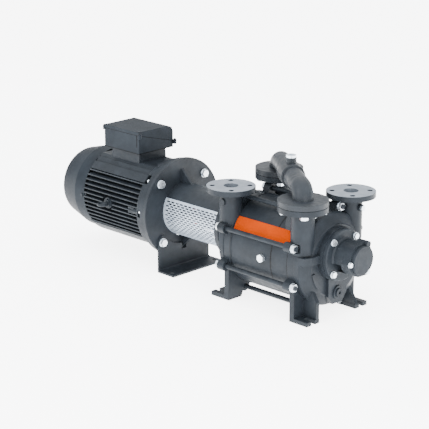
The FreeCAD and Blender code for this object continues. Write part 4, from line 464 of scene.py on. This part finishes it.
by_node = {
    "drive_end_casing": casing_paint("casing_paint_suction", (SHIFT, -PORT_Y)),
    "free_end_casing": casing_paint("casing_paint_discharge", (SHIFT + PORT_SPAN, PORT_Y)),
    "interstage_manifold": cast_paint("pipe_paint", gloss=0.17),
    "lantern": cast_paint("lantern_paint", gloss=0.12),
    "fan_cowl": sheet_paint("cowl_paint"),
    "stage1_body": cast_paint("stage1_paint", (JOINT_1, JOINT_2)),
    "stage2_body": cast_paint("stage2_paint", (JOINT_2, JOINT_3)),
    # The box paint carries painted shade under the box and in the groove
    "terminal_box": sheet_paint("box_paint_with_painted_shade", lid_joint_and_shade=True),
    "terminal_box_lid": sheet_paint("lid_paint"),
    "foot_bracket": cast_paint("bracket_paint", gloss=0.12),
    "tie_rods": paint_on_bar("rod_paint"),
    # Painted shade: coupling halves near black inside the guards
    "motor_coupling_half": guard_shade_iron,
    "pump_coupling_half": guard_shade_iron,
    "cowl_screws": dark_steel,
    "shield_bolts": dark_steel,
    "lid_screws": dark_steel,
    "gland_plug": dark_steel,
    "drain_plug": dark_steel,
    "lifting_eye": paint,
}
slot_of = {row["node"]: row["material_slot"] for row in frame["record"]["subparts"]}
for name, obj in nodes.items():
    finish = by_node.get(name, by_slot[slot_of[name]])
    if not obj.material_slots:
        obj.data.materials.append(None)
    for slot in obj.material_slots:
        slot.material = finish


# New pieces

def new_piece(name, points, faces, finish):
    """Mesh object on the standing body, with its finish."""
    mesh = bpy.data.meshes.new(name)
    mesh.from_pydata(points, [], faces)
    mesh.validate()
    mesh.update()
    mesh.materials.append(finish)
    obj = bpy.data.objects.new(name, mesh)
    bpy.context.scene.collection.objects.link(obj)
    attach(obj, "machine")
    return obj


def thicken(obj, thickness, offset):
    """Gives a sheet its thickness: half on each side at offset 0, all behind its faces at -1."""
    solid = obj.modifiers.new("thickness", "SOLIDIFY")
    solid.thickness = thickness
    solid.offset = offset


# Perforated guards

def on_guard(x, arc, start):
    """Point on the middle surface of a guard, from a length along X and an arc length."""
    turn = start + arc / GUARD_MID_R
    return (x, GUARD_MID_R * math.cos(turn), SHAFT_Z + GUARD_MID_R * math.sin(turn))


def guard_mesh(name, start, stop):
    """Sheet of staggered slots, rolled round the shaft between two angles."""
    arc = (stop - start) * GUARD_MID_R
    pitch = (arc - 2.0 * GUARD_MARGIN) / SLOT_ROWS
    length = GUARD_X1 - GUARD_X0 - 2.0 * GUARD_MARGIN
    count = int(length / SLOT_PITCH)
    step = length / count
    first = GUARD_X0 + GUARD_MARGIN
    last = GUARD_X1 - GUARD_MARGIN
    slot = [(SLOT_HALF, 0.0), (SLOT_CORNER, SLOT_HIGH), (0.0, SLOT_HIGH), (-SLOT_CORNER, SLOT_HIGH),
            (-SLOT_HALF, 0.0), (-SLOT_CORNER, -SLOT_HIGH), (0.0, -SLOT_HIGH), (SLOT_CORNER, -SLOT_HIGH)]
    points = []
    index = {}
    faces = []

    def at(x, a):
        key = (round(x, 6), round(a, 6))
        if key not in index:
            index[key] = len(points)
            points.append(on_guard(x, a, start))
        return index[key]

    def plain(x0, x1, a0, a1):
        faces.append([at(x0, a0), at(x1, a0), at(x1, a1), at(x0, a1)])

    for row in range(SLOT_ROWS):
        a0 = GUARD_MARGIN + row * pitch
        a1 = a0 + pitch
        am = (a0 + a1) / 2.0
        odd = row % 2
        left = first + (step / 2.0 if odd else 0.0)
        cells = count - 1 if odd else count
        if odd:
            far = left + cells * step
            plain(left - step / 2.0, left, a0, a1)
            plain(far, far + step / 2.0, a0, a1)
        for k in range(cells):
            x0 = left + k * step
            x1 = x0 + step
            xm = (x0 + x1) / 2.0
            outer = [(x1, am), (x1, a1), (xm, a1), (x0, a1), (x0, am), (x0, a0), (xm, a0), (x1, a0)]
            inner = [(xm + dx, am + da) for dx, da in slot]
            for i in range(8):
                j = (i + 1) % 8
                faces.append([at(*inner[i]), at(*outer[i]), at(*outer[j]), at(*inner[j])])
        plain(GUARD_X0, first, a0, a1)
        plain(last, GUARD_X1, a0, a1)
    for a0, a1 in ((0.0, GUARD_MARGIN), (arc - GUARD_MARGIN, arc)):
        plain(GUARD_X0, first, a0, a1)
        plain(last, GUARD_X1, a0, a1)
        for k in range(2 * count):
            x0 = first + k * step / 2.0
            plain(x0, x0 + step / 2.0, a0, a1)
    obj = new_piece(name, points, faces, by_slot["perforated_sheet"])
    thicken(obj, GUARD_THK, 0.0)
    return obj


upper = math.asin(WINDOW_TOP / LANTERN_R) + GUARD_LAP
lower = math.asin(WINDOW_LOW / LANTERN_R) + GUARD_LAP
front_guard = guard_mesh("guard_front_sheet", math.pi - upper, math.pi + lower)
back_guard = guard_mesh("guard_back_sheet", -lower, upper)
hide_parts("guard_front")
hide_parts("guard_back")


# Small pieces that the solids leave out

def ring_mesh(name, rings, sides, finish):
    """Closed turned or many-sided piece along local Z, from rings of (radius, height)."""
    points = []
    faces = []
    for radius, height in rings:
        for k in range(sides):
            angle = 2.0 * math.pi * k / sides
            points.append((radius * math.cos(angle), radius * math.sin(angle), height))
    for level in range(len(rings) - 1):
        for k in range(sides):
            after = (k + 1) % sides
            low = level * sides
            faces.append((low + k, low + after, low + sides + after, low + sides + k))
    faces.append(tuple(reversed(range(sides))))
    faces.append(tuple(range(len(points) - sides, len(points))))
    return new_piece(name, points, faces, finish)


def stand(obj, place, axis):
    """Puts local Z of a piece along an axis at a place in the shaft frame, in metres."""
    obj.location = (SHIFT + place[0], place[1], SHAFT_Z + place[2])
    obj.rotation_euler = Vector(axis).to_track_quat("Z", "Y").to_euler()


def hex_screw(name, place, axis, half, high, finish, slot):
    """Hexagon head with a washer face and a chamfered top."""
    disc = [(half * 1.05, -0.001), (half * 1.05, high * 0.12)]
    hexagon = [(half * 0.98, 0.0), (half * 0.98, high * 0.85), (half * 0.86, high)]
    washer = ring_mesh(name + "_washer", disc, 24, finish)
    head = ring_mesh(name + "_head", hexagon, 6, finish)
    for obj in (washer, head):
        stand(obj, place, axis)


def round_boss(name, place, axis, radius, high, finish, slot):
    """Short round cast boss with a rounded edge and a shallow dish."""
    rings = [(radius * 1.12, -0.002), (radius, high * 0.3), (radius, high * 0.75),
             (radius * 0.9, high), (radius * 0.6, high), (radius * 0.5, high * 0.8)]
    obj = ring_mesh(name, rings, 32, finish)
    for face in obj.data.polygons:
        face.use_smooth = len(face.vertices) == 4
    stand(obj, place, axis)


def on_rim(x, degrees):
    """Place on the motor shield and the axis that points straight out of it."""
    turn = math.radians(degrees)
    y = math.cos(turn)
    z = math.sin(turn)
    return (x, SHIELD_R * y, SHIELD_R * z), (0.0, y, z)


hex_screw("shield_screw", *on_rim(-0.394, 138.0), 0.0055, 0.0055, zinc, "zinc_steel")
round_boss("shield_boss", *on_rim(-0.400, 112.0), 0.0095, 0.006, paint, "dark_paint")
# Dark disc round the screw: painted shade of the recess the screw sits in
round_boss("shield_recess_shade", *on_rim(-0.396, 177.0), 0.0085, 0.0025, dark_steel, "dark_paint")
hex_screw("recess_screw", *on_rim(-0.396, 177.0), 0.0038, 0.0045, zinc, "zinc_steel")


def lid_lug(name, x, y, low, high):
    """Rounded lug at a corner of the terminal box lid, with the top of its screw."""
    up = (0.0, 0.0, 1.0)
    rings = [(LUG_R * 0.8, low - high), (LUG_R, low - high + 0.002), (LUG_R, -0.0012), (LUG_R * 0.85, 0.0)]
    body = ring_mesh(name, rings, 28, by_node["terminal_box_lid"])
    stand(body, (x, y, high), up)
    hex_screw(name + "_screw", (x, y, high), up, 0.0040, 0.003, dark_steel, "dark_paint")


lid_lug("lid_lug_front_rear_end", -0.6785, -0.0795, 0.244, 0.260)
lid_lug("lid_lug_front_drive_end", -0.4880, -0.0815, 0.240, 0.258)
lid_lug("lid_lug_back_drive_end", -0.4870, 0.0880, 0.194, 0.211)
lid_lug("lid_lug_back_rear_end", -0.6790, 0.0880, 0.194, 0.211)


# Dark sheet behind the grille of the fan cowl: painted shade inside the cowl

def cowl_shade_sheet():
    """Round dark sheet, ribbed in rings, behind the grille slots: painted shade that keeps the inside of the
    cowl dark.
    """
    points = []
    faces = []
    for ring in range(SCREEN_RINGS + 1):
        radius = SCREEN_HOLE_R + (SCREEN_R - SCREEN_HOLE_R) * ring / SCREEN_RINGS
        x = SCREEN_X + (SCREEN_RIB if ring % 2 else 0.0)
        for turn in range(SCREEN_TURNS):
            angle = 2.0 * math.pi * turn / SCREEN_TURNS
            points.append((x, radius * math.cos(angle), SHAFT_Z + radius * math.sin(angle)))
    for ring in range(SCREEN_RINGS):
        inner = ring * SCREEN_TURNS
        outer = inner + SCREEN_TURNS
        for turn in range(SCREEN_TURNS):
            after = (turn + 1) % SCREEN_TURNS
            faces.append((inner + turn, inner + after, outer + after, outer + turn))
    obj = new_piece("cowl_shade_sheet", points, faces, by_slot["black_plastic"])
    thicken(obj, SCREEN_THK, -1.0)


cowl_shade_sheet()


# Floor, light and camera

def floor():
    """Plain pale floor that glows a little, so that it stays pale in soft light."""
    mesh = bpy.data.meshes.new("floor")
    half = FLOOR_HALF
    corners = [(-half, -half, 0), (half, -half, 0), (half, half, 0), (-half, half, 0)]
    mesh.from_pydata(corners, [], [(0, 1, 2, 3)])
    obj = bpy.data.objects.new("floor", mesh)
    bpy.context.scene.collection.objects.link(obj)
    obj.location.z = -FLOOR_DROP
    material, tree, shader, coords = new_material("floor_finish")
    cloud = noise(tree, coords, 3.0, 2.0)
    tree.links.new(ramp(tree, cloud, [(0.3, (0.90, 0.90, 0.90)), (0.7, (0.92, 0.92, 0.92))]),
                   shader.inputs["Base Color"])
    shader.inputs["Roughness"].default_value = 0.9
    shader.inputs["Specular IOR Level"].default_value = 0.1
    shader.inputs["Emission Color"].default_value = (1.0, 1.0, 1.0, 1.0)
    shader.inputs["Emission Strength"].default_value = FLOOR_GLOW
    mesh.materials.append(material)


def area_light(name, place, target, power, colour):
    """Soft square light at a place, turned to face a target."""
    data = bpy.data.lights.new(name, "AREA")
    data.energy = power
    data.size = LIGHT_SIZE
    data.color = colour
    obj = bpy.data.objects.new(name, data)
    bpy.context.scene.collection.objects.link(obj)
    obj.location = place
    obj.rotation_euler = (Vector(target) - Vector(place)).to_track_quat("-Z", "Y").to_euler()


def lights():
    """Key and fill light, and a soft sky that is stronger overhead."""
    area_light("key", (-0.4, -4.5, 3.2), (0.0, 0.0, 0.2), 240.0, (0.97, 0.985, 1.0))
    area_light("fill", (4.2, -1.6, 1.4), (0.2, 0.0, 0.2), 150.0, (0.98, 0.99, 1.0))
    world = bpy.data.worlds.new("studio")
    bpy.context.scene.world = world
    world.use_nodes = True
    tree = world.node_tree
    background = tree.nodes["Background"]
    background.inputs["Color"].default_value = (0.97, 0.985, 1.0, 1.0)
    coords = tree.nodes.new("ShaderNodeTexCoord").outputs["Generated"]
    rise = stretch(tree, parts_of(tree, coords)["Z"], 0.25, 0.75, SKY_LOW, SKY_HIGH)
    tree.links.new(rise, background.inputs["Strength"])


def camera():
    """Camera where the photo was taken from."""
    data = bpy.data.cameras.new("camera")
    obj = bpy.data.objects.new("camera", data)
    bpy.context.scene.collection.objects.link(obj)
    obj.location = CAMERA_PLACE
    flat = math.cos(CAMERA_ELEVATION)
    look = Vector((-math.sin(CAMERA_AZIMUTH) * flat, math.cos(CAMERA_AZIMUTH) * flat,
                   -math.sin(CAMERA_ELEVATION)))
    obj.rotation_euler = look.to_track_quat("-Z", "Y").to_euler()
    data.sensor_width = CAMERA_SENSOR
    data.lens = CAMERA_LENS
    data.clip_end = CAMERA_REACH
    bpy.context.scene.camera = obj


floor()
lights()
camera()
